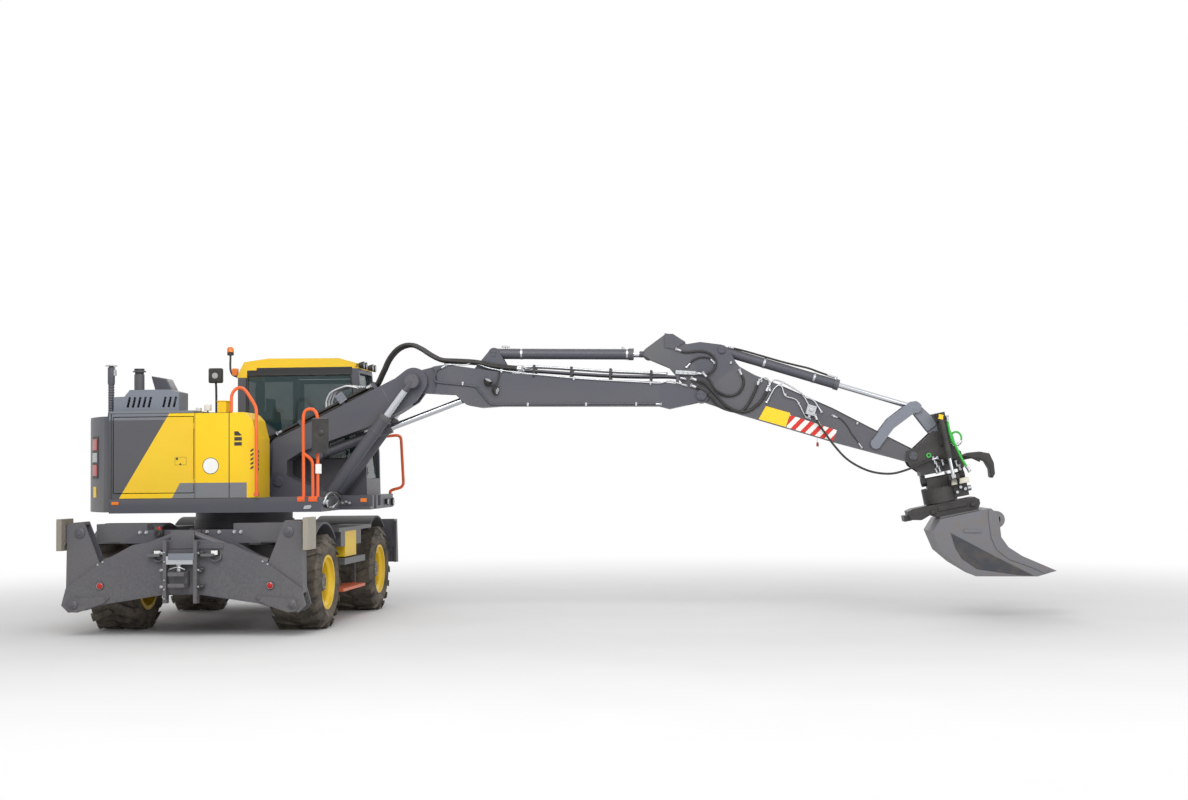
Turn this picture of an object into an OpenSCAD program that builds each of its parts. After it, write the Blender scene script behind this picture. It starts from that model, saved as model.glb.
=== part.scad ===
// Wheeled excavator with a two-piece boom, tiltrotator, front blade and rear outriggers.
// X runs along the boom, Y to the left of the driver and Z up. All lengths are in millimetres.

/* [Stance] */
// Angle from the boom to the front of the undercarriage
slew_angle = 87.7; // [0:0.1:180]
// Slope of the boom base, from the horizontal
boom_base_angle = 36; // [0:0.5:60]
// Slope of the main boom
boom_main_angle = -3.4; // [-20:0.2:10]
// Slope of the arm
arm_angle = -16.8; // [-40:0.2:0]
// Slope of the tiltrotator
tool_angle = 10.8; // [-10:0.2:20]

/* [Undercarriage] */
// Distance between the axles
wheelbase = 2600; // [2500:10:2750]
// Distance from the slewing axis back to the rear axle
rear_axle_back = 1097; // [1050:1:1150]
// Overall width over the tyres
track_over_tyres = 2713; // [2600:1:2800]
// Width of the chassis box
chassis_width = 840; // [760:5:900]
// Height of the chassis underside
chassis_low = 620; // [590:5:650]
// Height of the chassis top plate
chassis_top = 1000; // [980:5:1020]
// Radius of the axle tubes
axle_tube_r = 95; // [80:1:105]
// Distance of each steering pivot from the middle
kingpin_side = 800; // [780:1:820]
// Diameter of the steering pivots
kingpin_d = 70; // [50:1:90]

/* [Wheels] */
// Outer diameter of the tyres over their lugs
tyre_d = 1055; // [1000:1:1060]
// Width of the tyres
tyre_w = 598; // [540:1:605]
// Height of the lugs on the tread
lug_height = 24; // [14:1:32]
// Diameter of the rim flanges
rim_d = 616; // [580:1:640]
// Depth of the rim's dish from the outer flange
rim_dish = 205; // [170:1:230]
// Thickness of the wheel disc
disc_t = 22; // [14:1:30]
// Diameter of the hub
hub_d = 300; // [240:1:340]

/* [Blade] */
// Width of the blade
blade_w = 2560; // [2300:10:2600]
// Height of the blade
blade_h = 587; // [520:1:620]
// Height of the blade's edge above the ground when raised
blade_rise = 551; // [500:1:600]
// Distance of the blade's edge ahead of the slewing axis
blade_front = 2750; // [2700:5:2800]
// Thickness of the blade plate
blade_t = 24; // [16:1:32]

/* [Outriggers] */
// Distance of the outrigger beam behind the slewing axis
beam_back = 2080; // [2060:1:2110]
// Distance between the two outrigger beam plates, outside to outside
beam_depth = 240; // [230:1:260]
// Thickness of the outrigger beam plates
beam_plate = 25; // [18:1:30]
// Distance of each leg pivot from the middle
leg_pivot_side = 1227; // [1200:1:1240]
// Height of the leg pivots
leg_pivot_z = 360; // [345:1:380]
// Diameter of the leg pivots
leg_pin_d = 70; // [50:1:80]

/* [Superstructure] */
// Height of the superstructure's underside
deck_low = 1332; // [1330:1:1345]
// Height of the deck on which the cab and housing stand
deck_top = 1500; // [1480:1:1510]
// Width of the superstructure
deck_w = 2540; // [2500:5:2550]
// Tail swing radius
tail_r = 1800; // [1760:5:1840]
// Height of the side panels
panel_top = 2480; // [2400:5:2520]
// Thickness of the sheet-metal panels and doors
panel_t = 40; // [25:1:50]

/* [Cab] */
// Distance of the cab's right wall from the boom's middle plane
cab_right = 355; // [345:1:370]
// Width of the cab
cab_w = 900; // [860:5:915]
// Thickness of the cab posts and walls
cab_wall = 55; // [40:1:65]
// Thickness of the window glass
glass_t = 6; // [5:1:10]
// Height of the roof panel
roof_top = 3205; // [3180:1:3230]

/* [Boom and arm] */
// Distance between the pins of the boom base
boom_base_length = 2027; // [1980:1:2060]
// Distance between the pins of the main boom
boom_main_length = 3473; // [3400:1:3520]
// Distance between the pins of the arm
arm_length = 2605; // [2560:1:2650]
// Width of the boom base
boom_base_w = 320; // [300:1:330]
// Width of the main boom
boom_main_w = 290; // [280:1:300]
// Width of the arm
arm_w = 220; // [200:1:222]
// Diameter of the boom pins
boom_pin_d = 90; // [70:1:100]
// Diameter of the smaller linkage pins
link_pin_d = 70; // [50:1:80]

/* [Cylinders] */
// Outer diameter of the lift cylinders
lift_barrel_d = 146; // [130:1:150]
// Diameter of the lift cylinder rods
lift_rod_d = 85; // [70:1:95]
// Distance of each lift cylinder from the boom's middle plane
lift_side = 258; // [256:1:262]
// Outer diameter of the positioning, arm and bucket cylinders
ram_barrel_d = 130; // [110:1:136]
// Diameter of their rods
ram_rod_d = 78; // [60:1:85]

/* [Tiltrotator and bucket] */
// Distance of the rotor axis ahead of the arm's end pin
rotor_ahead = 225; // [210:1:240]
// Diameter of the rotor housing
rotor_d = 400; // [340:1:420]
// Width of the quick hitch
hitch_w = 340; // [300:1:360]
// Width of the bucket
bucket_w = 800; // [600:10:1400]
// Thickness of the bucket's side and shell plates
bucket_t = 20; // [14:1:28]
// Outer radius of the bucket's lifting tube
eye_r = 100; // [90:1:105]
// Radius of the bore in the lifting tube
eye_bore_r = 50; // [40:1:60]

/* [Clearances] */
// Gap between faces that move past each other
move_gap = 5; // [5:1:8]
// Radial clearance of a pin in its bore
pin_gap = 0.05; // [0.02:0.01:0.1]
// Radial clearance of a rod in its gland
gland_gap = 0.5; // [0.3:0.1:1]
// Gap between a hinged or bolted face and its seat
seat_gap = 0.3; // [0.2:0.1:0.5]
// Gap round the edges of the doors
door_gap = 9; // [6:1:12]

/* [Hidden] */
$fn = 64;

far = 4000;
eps = 0.01;

function dir(a) = [cos(a), sin(a)];
function angle_of(p) = atan2(p[1], p[0]);
// A point given in a link's own axes, seen in the machine's side plane
function seen(base, angle, p) = base + p[0] * dir(angle) + p[1] * dir(angle + 90);

// Side plane of the boom: [x, z] of each pin at rest
foot_pin = [472, 1675];
lift_base = [1070, 1480];
knee_pin = foot_pin + boom_base_length * dir(boom_base_angle);
elbow_pin = knee_pin + boom_main_length * dir(boom_main_angle);
arm_end_pin = elbow_pin + arm_length * dir(arm_angle);
adjust_base = seen(foot_pin, boom_base_angle, [560, -11]);
adjust_eye = seen(knee_pin, boom_main_angle, [684, -150]);
arm_cyl_base = seen(knee_pin, boom_main_angle, [946, 390]);
arm_cyl_eye = seen(elbow_pin, arm_angle, [-743, 304]);
bucket_cyl_base = seen(elbow_pin, arm_angle, [83, 588]);
rocker_pin = seen(elbow_pin, arm_angle, [arm_length - 459, 18]);
rocker_top = seen(elbow_pin, arm_angle, [arm_length - 127, 565]);
link_eye = seen(elbow_pin, arm_angle, [arm_length + 216, 305]);

// Bucket outline in the tool's axes, and where its lip comes to rest
bucket_lip = [1313, -1625];
lip_point = seen(arm_end_pin, tool_angle, bucket_lip);

// The origin lies on the ground under the middle of the whole machine
origin_x = (lip_point[0] - tail_r) / 2;
origin_y = (blade_front - beam_back - 320) / 2;

// Undercarriage in its own axes: x forward, y left
front_axle = wheelbase - rear_axle_back;
rear_axle = -rear_axle_back;
wheel_side = (track_over_tyres - tyre_w) / 2;
axle_z = tyre_d / 2;
hub_face = wheel_side + tyre_w / 2 - rim_dish;

module whole() translate([-origin_x, -origin_y, 0]) children();
module under() whole() rotate(slew_angle) children();
module side_at(p, angle, y = 0) whole() translate([p[0], y, p[1]]) rotate([0, -angle, 0]) children();
module on_boom_base() side_at(foot_pin, boom_base_angle) children();
module on_boom_main() side_at(knee_pin, boom_main_angle) children();
module on_arm() side_at(elbow_pin, arm_angle) children();
module on_tool() side_at(arm_end_pin, tool_angle) children();
module on_rotor() on_tool() translate([rotor_ahead, 0, 0]) children();

// A plate cut to an outline in the side plane, between two values of y
module side_plate(outline, y0, y1)
    translate([0, y1, 0]) rotate([90, 0, 0]) linear_extrude(y1 - y0) polygon(outline);
// The same plate on both sides of the middle plane
module twin_plates(outline, inner, outer) {
    side_plate(outline, inner, outer);
    side_plate(outline, -outer, -inner);
}
// A plate cut to an outline of [y, z] points, between two values of x
module end_plate(outline, x0, x1)
    translate([x0, 0, 0]) rotate([90, 0, 90]) linear_extrude(x1 - x0) polygon(outline);
// A plate cut to an outline of [x, y] points, between two heights
module flat_plate(outline, z0, z1) translate([0, 0, z0]) linear_extrude(z1 - z0) polygon(outline);
// A round bar across the machine at [x, z]
module cross_bar(p, r, y0, y1) translate([p[0], y0, p[1]]) rotate([-90, 0, 0]) cylinder(r = r, h = y1 - y0);
module block(low, high) translate(low) cube(high - low);
// A round bar from one point to another
module bar(a, b, r) {
    d = b - a;
    translate(a) rotate([0, acos(d[2] / norm(d)), atan2(d[1], d[0])]) cylinder(r = r, h = norm(d));
}
// A path with each of its corners rounded
function unit(v) = v / norm(v);
function toward(a, b, d) = a + unit(b - a) * min(d, norm(b - a) * 0.45);
function rounded(path, d, steps = 4) = concat([path[0]],
    [for (i = [1 : len(path) - 2]) let (a = toward(path[i], path[i - 1], d), b = toward(path[i], path[i + 1], d))
        for (k = [0 : steps]) let (t = k / steps) (1 - t) * (1 - t) * a + 2 * t * (1 - t) * path[i] + t * t * b],
    [path[len(path) - 1]]);
// A bent tube along a path; side is a direction that no stretch of it follows
module bent_tube(path, r, bend = 70, side = [0, 1, 0], sides = 10) {
    p = rounded(path, bend);
    last = len(p) - 1;
    ring = [for (i = [0 : last]) let (
        t = unit((i > 0 ? unit(p[i] - p[i - 1]) : [0, 0, 0]) + (i < last ? unit(p[i + 1] - p[i]) : [0, 0, 0])),
        u = unit(cross(t, side)), v = cross(u, t))
        for (k = [0 : sides - 1]) p[i] + r * (cos(k * 360 / sides) * u + sin(k * 360 / sides) * v)];
    polyhedron(ring, concat([[for (k = [sides - 1 : -1 : 0]) k]],
        [for (i = [0 : last - 1]) for (k = [0 : sides - 1]) let (a = i * sides, n = (k + 1) % sides)
            [a + n, a + sides + n, a + sides + k, a + k]],
        [[for (k = [0 : sides - 1]) last * sides + k]]));
}
module mirrored_y() {
    children();
    mirror([0, 1, 0]) children();
}

// A hydraulic barrel along x from its base pin, bored for its rod
module barrel(length, r, rod_r, eye_w, eye_r, pin_r) difference() {
    union() {
        rotate([90, 0, 0]) cylinder(r = eye_r, h = eye_w, center = true);
        rotate([0, 90, 0]) cylinder(r = r, h = length);
        translate([length - 60, 0, 0]) rotate([0, 90, 0]) cylinder(r = r + 8, h = 60);
    }
    rotate([90, 0, 0]) cylinder(r = pin_r + pin_gap, h = far, center = true);
    translate([eye_r + 20, 0, 0]) rotate([0, 90, 0]) cylinder(r = rod_r + gland_gap, h = length);
    for (s = [-1, 1]) translate([-eye_r, s > 0 ? eye_w / 2 : -far - eye_w / 2, -far / 2])
        cube([2 * eye_r, far, far]);
}
// A piston rod along -x from its eye
module rod(length, r, eye_w, eye_r) {
    rotate([90, 0, 0]) cylinder(r = eye_r, h = eye_w, center = true);
    translate([-length, 0, 0]) rotate([0, 90, 0]) cylinder(r = r, h = length);
}

// Chassis
ring_r = 600;
ring_low = 1225;
nose_end = 2120;
tail_end = -beam_back + beam_depth / 2 + 2 * move_gap;
cw2 = chassis_width / 2;

module chassis_frame() color("dimgray") under() {
    difference() {
        union() {
            // Main box between the axles, with a waist over each axle
            side_plate([[tail_end, chassis_low + 90], [rear_axle - 300, chassis_low + 90],
                [rear_axle - 220, chassis_low + 150], [rear_axle + 220, chassis_low + 150],
                [rear_axle + 320, chassis_low - 60], [front_axle - 320, chassis_low - 60],
                [front_axle - 220, chassis_low + 150], [front_axle + 200, chassis_low + 150],
                [front_axle + 260, chassis_low - 20], [nose_end - 60, chassis_low - 20],
                [nose_end, chassis_low + 120], [nose_end, chassis_top - 120],
                [nose_end - 160, chassis_top], [tail_end, chassis_top]], -cw2, cw2);
            // Pedestal under the slewing ring
            translate([0, 0, chassis_top - eps]) cylinder(r1 = 720, r2 = 640, h = 120);
            translate([0, 0, chassis_top + 110]) cylinder(r = ring_r, h = ring_low - chassis_top - 110);
            // Rear end plate with the outrigger guards
            block([tail_end, -800, 1015], [tail_end + 30, 800, 1163]);
            block([tail_end, -cw2, chassis_low + 90], [tail_end + 30, cw2, 1015]);
            mirrored_y() {
                side_plate([[tail_end, 1030], [tail_end + 220, 1030], [tail_end + 220, 1190],
                    [tail_end + 150, 1230], [tail_end, 1230]], 490, 1070);
                // Outriggers of the side steps and lockers
                for (u = [-300, 430]) block([u - 40, cw2 - eps, 920], [u + 40, 960, 1000]);
                // Lugs of the blade cylinders and the pins in them
                for (y = [blade_cyl_side - 65, blade_cyl_side + 40]) side_plate(blade_cyl_lug, y, y + 25);
                // Ears that hold the blade arms under the nose
                for (y = [blade_arm_side - blade_arm_t / 2 - move_gap - 20, blade_arm_side + blade_arm_t / 2 + move_gap])
                    side_plate(blade_arm_ear, y, y + 20);
            }
        }
        // Slots for the blade arms and pockets for their cylinders
        mirrored_y() {
            block([blade_arm_base[0] - 110, blade_arm_side - blade_arm_t / 2 - move_gap, 0],
                [far, blade_arm_side + blade_arm_t / 2 + move_gap, blade_arm_base[1] + 260]);
            block([blade_cyl_base[0] - 70, blade_cyl_side - 39, chassis_low - 100],
                [far, blade_cyl_side + 39, far]);
            block([blade_cyl_base[0] + 70, blade_cyl_side - 50, chassis_low - 100],
                [far, blade_cyl_side + 50, far]);
        }
    }
    mirrored_y() {
        cross_bar(blade_arm_base, blade_pin_r, blade_arm_side - blade_arm_t / 2 - 25, blade_arm_side + blade_arm_t / 2 + 25);
        cross_bar(blade_cyl_base, blade_pin_r, blade_cyl_side - 75, blade_cyl_side + 75);
    }
}
blade_cyl_lug = [[1630, 960], [1780, 960], [1780, 1085], [1670, 1085]];
blade_arm_ear = [[1700, 780], [1735, 470], [1770, 440], [1830, 440], [1865, 470], [1900, 660]];

// Axles, with the banjo housing, gear nose and the forks of the front axle
shaft_tube_r = 38;
module axle_tube(u, half) {
    bar([u, -half, axle_z], [u, half, axle_z], axle_tube_r);
    translate([u, 0, axle_z]) rotate([90, 0, 0]) cylinder(r = 185, h = 190, center = true);
    mirrored_y() translate([u, 95, axle_z]) rotate([-90, 0, 0]) cylinder(r1 = 175, r2 = axle_tube_r, h = 130);
}
module axles() color("dimgray") under() {
    // Rear axle: hub flanges carry the wheels
    axle_tube(rear_axle, hub_face - 100);
    mirrored_y() bar([rear_axle, hub_face - 101, axle_z], [rear_axle, hub_face + 110, axle_z], stub_r);
    // Front axle: a fork at each end for the knuckle
    axle_tube(front_axle, kingpin_side - 150);
    mirrored_y() {
        block([front_axle - 60, kingpin_side - 190, axle_z - 120],
            [front_axle + 60, kingpin_side - 120, axle_z + 120]);
        for (s = [-1, 1]) translate([front_axle, kingpin_side, axle_z + s * 105]) {
            cylinder(r = 55, h = 30, center = true);
            block([-55, -190, -15], [55, 0, 15]);
        }
        translate([front_axle, kingpin_side, axle_z - 120]) cylinder(d = kingpin_d, h = 240);
    }
    // Gearbox, drive shafts and axle pads
    block([-250, -160, 380], [120, 160, chassis_low - 60]);
    bar([rear_axle + 170, 0, axle_z], [-250, 0, axle_z - 70], shaft_tube_r);
    bar([front_axle - 170, 0, axle_z], [120, 0, axle_z - 70], shaft_tube_r);
    for (u = [rear_axle, front_axle]) mirrored_y()
        block([u - 90, 260, axle_z], [u + 90, 380, chassis_low + 150]);
}

// Knuckles turn on the kingpins and carry the front wheels
stub_r = 60;
module knuckle() {
    difference() {
        union() {
            cylinder(r = 70, h = 2 * (105 - 15 - move_gap / 2), center = true);
            bar([0, 0, 0], [0, hub_face - kingpin_side + 110, 0], stub_r);
        }
        cylinder(r = kingpin_d / 2 + pin_gap, h = far, center = true);
    }
}
module knuckle_left() color("dimgray") under() translate([front_axle, kingpin_side, axle_z]) knuckle();
module knuckle_right() color("dimgray") under() translate([front_axle, -kingpin_side, axle_z])
    mirror([0, 1, 0]) knuckle();

// Wheels turn about their own y axis; the outer side faces +y
lug_count = 16;
lug_w = 72;
lug_lean = 24;
lug_root = 50;
tread_bevel = 50;
tyre_sides = 24;
flange_in = 40;
bead = flange_in + seat_gap;
module tyre() {
    r = tyre_d / 2;
    w = tyre_w / 2;
    b = rim_d / 2 - 12;
    base_r = r - lug_height;
    rotate([90, 0, 0]) rotate_extrude($fn = tyre_sides) polygon([[b, bead - w], [b + 20, bead - w], [b + 95, -w],
        [base_r, tread_bevel - w], [base_r, w - tread_bevel], [b + 95, w], [b + 20, w - bead], [b, w - bead]]);
    // Lugs lean away from the middle and wrap over the shoulders
    for (i = [0 : lug_count - 1], s = [-1, 1]) rotate([0, (i + (s > 0 ? 0.5 : 0)) * 360 / lug_count, 0])
        mirror([0, s > 0 ? 0 : 1, 0]) intersection() {
            rotate([0, 0, lug_lean]) block([-lug_w / 2, 16, base_r - lug_root], [lug_w / 2, tyre_w, r]);
            end_plate([[0, base_r - 20], [w, base_r - lug_root], [w - 46, r], [0, r]], -w, w);
        }
}
module rim() {
    b = rim_d / 2;
    w = tyre_w / 2;
    seat = b - 15;
    disc = w - rim_dish;
    difference() {
        union() {
            rotate([-90, 0, 0]) rotate_extrude() polygon([[seat - 26, -w + 30], [b + 4, -w + 30],
                [b + 4, flange_in - w], [seat, flange_in - w], [seat, w - flange_in], [b + 4, w - flange_in],
                [b + 4, w - 30], [b - 26, w - 30],
                [b - 34, w - 60], [seat - 50, w - 90], [seat - 62, disc + 40], [seat - 90, disc],
                [hub_d / 2, disc], [hub_d / 2, disc - disc_t], [seat - 90, disc - disc_t],
                [seat - 40, disc - disc_t - 30], [seat - 26, -w + 80]]);
            // Planetary hub with its stepped cap
            cross_bar([0, 0], hub_d / 2, disc - disc_t, disc + 70);
            translate([0, disc + 70 - eps, 0]) rotate([-90, 0, 0]) cylinder(d1 = hub_d - 40, d2 = hub_d - 110, h = 60);
            cross_bar([0, 0], hub_d / 2 - 10, disc - disc_t - 70, disc - disc_t + 5);
        }
        cross_bar([0, 0], stub_r + pin_gap, disc + 62 - far, disc + 114);
    }
}
// Wheels: name, axle, side
module wheel_at(u, s) under() translate([u, s * wheel_side, axle_z]) rotate(s > 0 ? 0 : 180) children();
module tyre_front_left() color("dimgray") wheel_at(front_axle, 1) tyre();
module tyre_front_right() color("dimgray") wheel_at(front_axle, -1) tyre();
module tyre_rear_left() color("dimgray") wheel_at(rear_axle, 1) tyre();
module tyre_rear_right() color("dimgray") wheel_at(rear_axle, -1) tyre();
module rim_front_left() color("gold") wheel_at(front_axle, 1) rim();
module rim_front_right() color("gold") wheel_at(front_axle, -1) rim();
module rim_rear_left() color("gold") wheel_at(rear_axle, 1) rim();
module rim_rear_right() color("gold") wheel_at(rear_axle, -1) rim();

// Blade on two arms that keep it upright, with two cylinders
blade_arm_base = [1800, 500];
blade_arm_front = [2480, 640];
blade_arm_side = 340;
blade_arm_t = 60;
blade_pin_r = 30;
blade_cyl_base = [1720, 1035];
blade_cyl_eye = [2290, 690];
blade_cyl_side = 230;
blade_cyl_length = norm(blade_cyl_eye - blade_cyl_base);
blade_cyl_angle = angle_of(blade_cyl_eye - blade_cyl_base);
module blade_arms() color("dimgray") under() {
    d = angle_of(blade_arm_front - blade_arm_base);
    length = norm(blade_arm_front - blade_arm_base);
    mirrored_y() difference() {
        union() {
            translate([blade_arm_base[0], 0, blade_arm_base[1]]) rotate([0, -d, 0]) {
                side_plate([[0, -80], [length, -60], [length, 60], [330, 110], [0, 80]],
                    blade_arm_side - blade_arm_t / 2, blade_arm_side + blade_arm_t / 2);
                cross_bar([0, 0], 80, blade_arm_side - blade_arm_t / 2, blade_arm_side + blade_arm_t / 2);
                cross_bar([length, 0], 60, blade_arm_side - blade_arm_t / 2, blade_arm_side + blade_arm_t / 2);
            }
            // Lug of the cylinder eye, inside the arm
            cross_bar(blade_cyl_eye, 48, blade_cyl_side + 36, blade_arm_side);
        }
        cross_bar(blade_arm_base, blade_pin_r + pin_gap, 0, far);
        cross_bar(blade_arm_front, blade_pin_r + pin_gap, 0, far);
    }
    // Cross tube between the arms
    cross_bar([2140, 575], 45, -blade_arm_side, blade_arm_side);
}
module blade() color("dimgray") under() {
    back = blade_front - 120;
    rise = blade_rise;
    top = blade_rise + blade_h;
    // The board is a slice of a large tube
    difference() {
        intersection() {
            cross_bar([blade_front + 520, rise + blade_h * 0.48], 640, -blade_w / 2, blade_w / 2);
            block([0, -blade_w / 2, rise], [blade_front, blade_w / 2, top]);
        }
        cross_bar([blade_front + 520, rise + blade_h * 0.48], 640 - blade_t, -far, far);
    }
    // Side plates, cutting edge and hinge ears
    mirrored_y() {
        side_plate([[back, rise], [blade_front, rise], [blade_front - 10, rise + 120],
            [blade_front - 60, top], [back, top - 20]], blade_w / 2 - 16, blade_w / 2 + 20);
        for (y = [blade_arm_side - blade_arm_t / 2 - move_gap - 20, blade_arm_side + blade_arm_t / 2 + move_gap])
            side_plate([[blade_arm_front[0] - 50, blade_arm_front[1] - 50], [back + 40, rise + 10],
                [back + 40, rise + 240], [blade_arm_front[0] - 50, blade_arm_front[1] + 50]], y, y + 20);
        cross_bar(blade_arm_front, blade_pin_r, blade_arm_side - blade_arm_t / 2 - move_gap - 20,
            blade_arm_side + blade_arm_t / 2 + move_gap + 20);
    }
    block([back - 10, -blade_w / 2, rise + 200], [back + 30, blade_w / 2, rise + 290]);
}
module blade_barrels() color("dimgray") under() mirrored_y()
    translate([blade_cyl_base[0], blade_cyl_side, blade_cyl_base[1]]) rotate([0, -blade_cyl_angle, 0])
        barrel(430, 36, 22, 60, 45, blade_pin_r);
module blade_rods() color("silver") under() mirrored_y()
    translate([blade_cyl_eye[0], blade_cyl_side, blade_cyl_eye[1]]) rotate([0, -blade_cyl_angle, 0])
        rod(blade_cyl_length - 110, 22, 60, 40);

// Outrigger beam: two arched plates with a floor between them
beam_outline = [[-1369, 352], [-1318, 539], [-897, 839], [-731, 920], [-560, 1010], [-222, 1063], [222, 1063],
    [560, 1010], [731, 920], [897, 839], [1318, 539], [1369, 352], [1290, 275], [1180, 280], [857, 368],
    [230, 464], [-230, 464], [-857, 368], [-1180, 280], [-1290, 275]];
beam_rear = -beam_back - beam_depth / 2;
beam_front = -beam_back + beam_depth / 2;
leg_cyl_base = [70, 1120];
leg_lug = [977, 780];
leg_cyl_length = norm(leg_lug - leg_cyl_base);
leg_cyl_angle = angle_of(leg_lug - leg_cyl_base);
leg_pin_r = leg_pin_d / 2;
module rear_beam() color("dimgray") under() {
    for (u = [beam_rear, beam_front - beam_plate]) end_plate(beam_outline, u, u + beam_plate);
    end_plate([[-857, 368], [-230, 464], [230, 464], [857, 368], [857, 398], [230, 494], [-230, 494], [-857, 398]],
        beam_rear + beam_plate, beam_front - beam_plate);
    block([beam_rear + beam_plate, -60, 494], [beam_front - beam_plate, 60, 1000]);
    block([beam_front - eps, -cw2, chassis_low + 90], [tail_end, cw2, 1000]);
    mirrored_y() {
        translate([beam_rear, leg_pivot_side, leg_pivot_z]) rotate([0, 90, 0]) cylinder(r = leg_pin_r, h = beam_depth);
        // Pivot reinforcements on the rear face
        end_plate([[850, 445], [870, 385], [1180, 275], [1270, 290], [1300, 360], [1257, 430]],
            beam_rear - 15, beam_rear);
        translate([beam_rear + beam_plate - eps, leg_cyl_base[0], leg_cyl_base[1]]) rotate([0, 90, 0])
            cylinder(r = leg_cyl_pin_r, h = beam_depth - 2 * beam_plate + 2 * eps);
    }
    // Ears of the leg cylinders
    for (u = [beam_rear, beam_front - beam_plate]) block([u, -130, 1050], [u + beam_plate, 130, 1165]);
}
leg_cyl_pin_r = 22;
module leg() color("dimgray") {
    inner = beam_depth / 2 - beam_plate - 10;
    outline = [[1170, 300], [1290, 300], [1330, 420], [1318, 1250], [1130, 1265], [935, 780], [1120, 420]];
    for (u = [-inner, inner - 25]) translate([-beam_back, 0, 0]) difference() {
        union() {
            end_plate(outline, u, u + 25);
            translate([u, leg_pivot_side, leg_pivot_z]) rotate([0, 90, 0]) cylinder(r = 88, h = 25);
        }
        translate([u - 1, leg_pivot_side, leg_pivot_z]) rotate([0, 90, 0]) cylinder(r = leg_pin_r + pin_gap, h = 27);
    }
    // Lugs of the cylinder eye
    for (u = [-inner, inner - 25]) translate([-beam_back + u, leg_lug[0], leg_lug[1]]) rotate([0, 90, 0])
        cylinder(r = 50, h = 25);
    // Outer closing plate, head and foot pad
    end_plate([[1292, 480], [1328, 480], [1318, 1250], [1284, 1250]], -beam_back - inner, -beam_back + inner);
    end_plate([[1117, 1232], [1318, 1215], [1318, 1250], [1130, 1265]], -beam_back - inner, -beam_back + inner);
    end_plate([[1317, 1060], [1350, 1010], [1350, 1230], [1317, 1190]], -beam_back - 70, -beam_back + 70);
    block([-beam_back - 160, 1350, 948], [-beam_back + 160, 1410, 1296]);
}
module leg_left() under() leg();
module leg_right() under() mirror([0, 1, 0]) leg();
module leg_barrel() color("dimgray") translate([-beam_back, leg_cyl_base[0], leg_cyl_base[1]])
    rotate([0, 0, 90]) rotate([0, -leg_cyl_angle, 0]) barrel(905, 44, 26, 100, 42, leg_cyl_pin_r);
module leg_rod() color("silver") translate([-beam_back, leg_lug[0], leg_lug[1]])
    rotate([0, 0, 90]) rotate([0, -leg_cyl_angle, 0]) rod(leg_cyl_length - 78, 26, 90, 42);
module leg_barrel_left() under() leg_barrel();
module leg_barrel_right() under() mirror([0, 1, 0]) leg_barrel();
module leg_rod_left() under() leg_rod();
module leg_rod_right() under() mirror([0, 1, 0]) leg_rod();

// Tow hitch: two slotted rails and a jaw
module tow_hitch() color("dimgray") under() {
    hitch_back = beam_rear - 90;
    for (s = [-1, 1]) difference() {
        block([hitch_back, s > 0 ? 150 : -190, 380], [beam_rear, s > 0 ? 190 : -150, 1050]);
        for (z = [430 : 100 : 1000]) translate([hitch_back + 35, 0, z]) rotate([90, 0, 0])
            cylinder(r = 13, h = far, center = true);
    }
    block([hitch_back + 70, -150, 480], [beam_rear, 150, 960]);
    // Jaw with the tow pin's bore
    difference() {
        block([hitch_back - 120, -90, 560], [hitch_back + 71, 90, 720]);
        block([hitch_back - 121, -91, 600], [hitch_back - 20, 91, 680]);
        translate([hitch_back - 70, 0, 500]) cylinder(r = tow_bore_r, h = 300);
    }
    // Tie-down eyes
    mirrored_y() difference() {
        block([beam_rear - 80, 230, 885], [beam_rear, 370, 915]);
        translate([beam_rear - 40, 300, 800]) cylinder(r = 26, h = 200);
    }
}
tow_bore_r = 20;

// Lockers and steps on each side
module side_lockers() color("gold") under() mirrored_y() {
    block([-196, 960, 770], [350, 1300, 1077]);
    block([-560, 960, 1076], [1070, 1320, 1122]);
    block([-400, 960, 900], [-195, 1300, 1077]);
    block([349, 960, 900], [600, 1300, 1077]);
    // Grey upper step and orange lower step
    block([-340, 1060, 680], [690, 1330, 755]);
    block([-400, 1060, 365], [690, 1330, 400]);
    for (u = [-330, 640]) block([u, 1180, 399], [u + 30, 1210, 681]);
    for (u = [-300, 400]) block([u, 1150, 754], [u + 60, 1200, 901]);
    block([-196, 1150, 754], [350, 1200, 771]);
}

// Mudguards: ribbed shells over the front wheels, plain ones behind
module mudguard(u, low, high) intersection() {
    translate([u, 0, axle_z]) rotate([90, 0, 0]) difference() {
        cylinder(r = 690, h = far, center = true, $fn = 240);
        cylinder(r = 665, h = far, center = true, $fn = 240);
    }
    block(low, high);
}
module mudguards() color([0.1, 0.1, 0.1]) under() mirrored_y() {
    intersection() {
        mudguard(front_axle, [front_axle - 480, 560, 1050], [front_axle + 500, 1290, 1216]);
        block([0, 560, 0], [far, 1290, 1290]);
    }
    mudguard(rear_axle, [rear_axle - 560, 560, 1000], [rear_axle + 480, 1290, 1216]);
    for (u = [rear_axle, front_axle]) block([u - 60, cw2 + eps, chassis_top - 40], [u + 60, 700, chassis_top]);
    for (u = [rear_axle, front_axle]) block([u - 60, 640, chassis_top - 40], [u + 60, 700, 1205]);
}

// Superstructure
dw2 = deck_w / 2;
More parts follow.
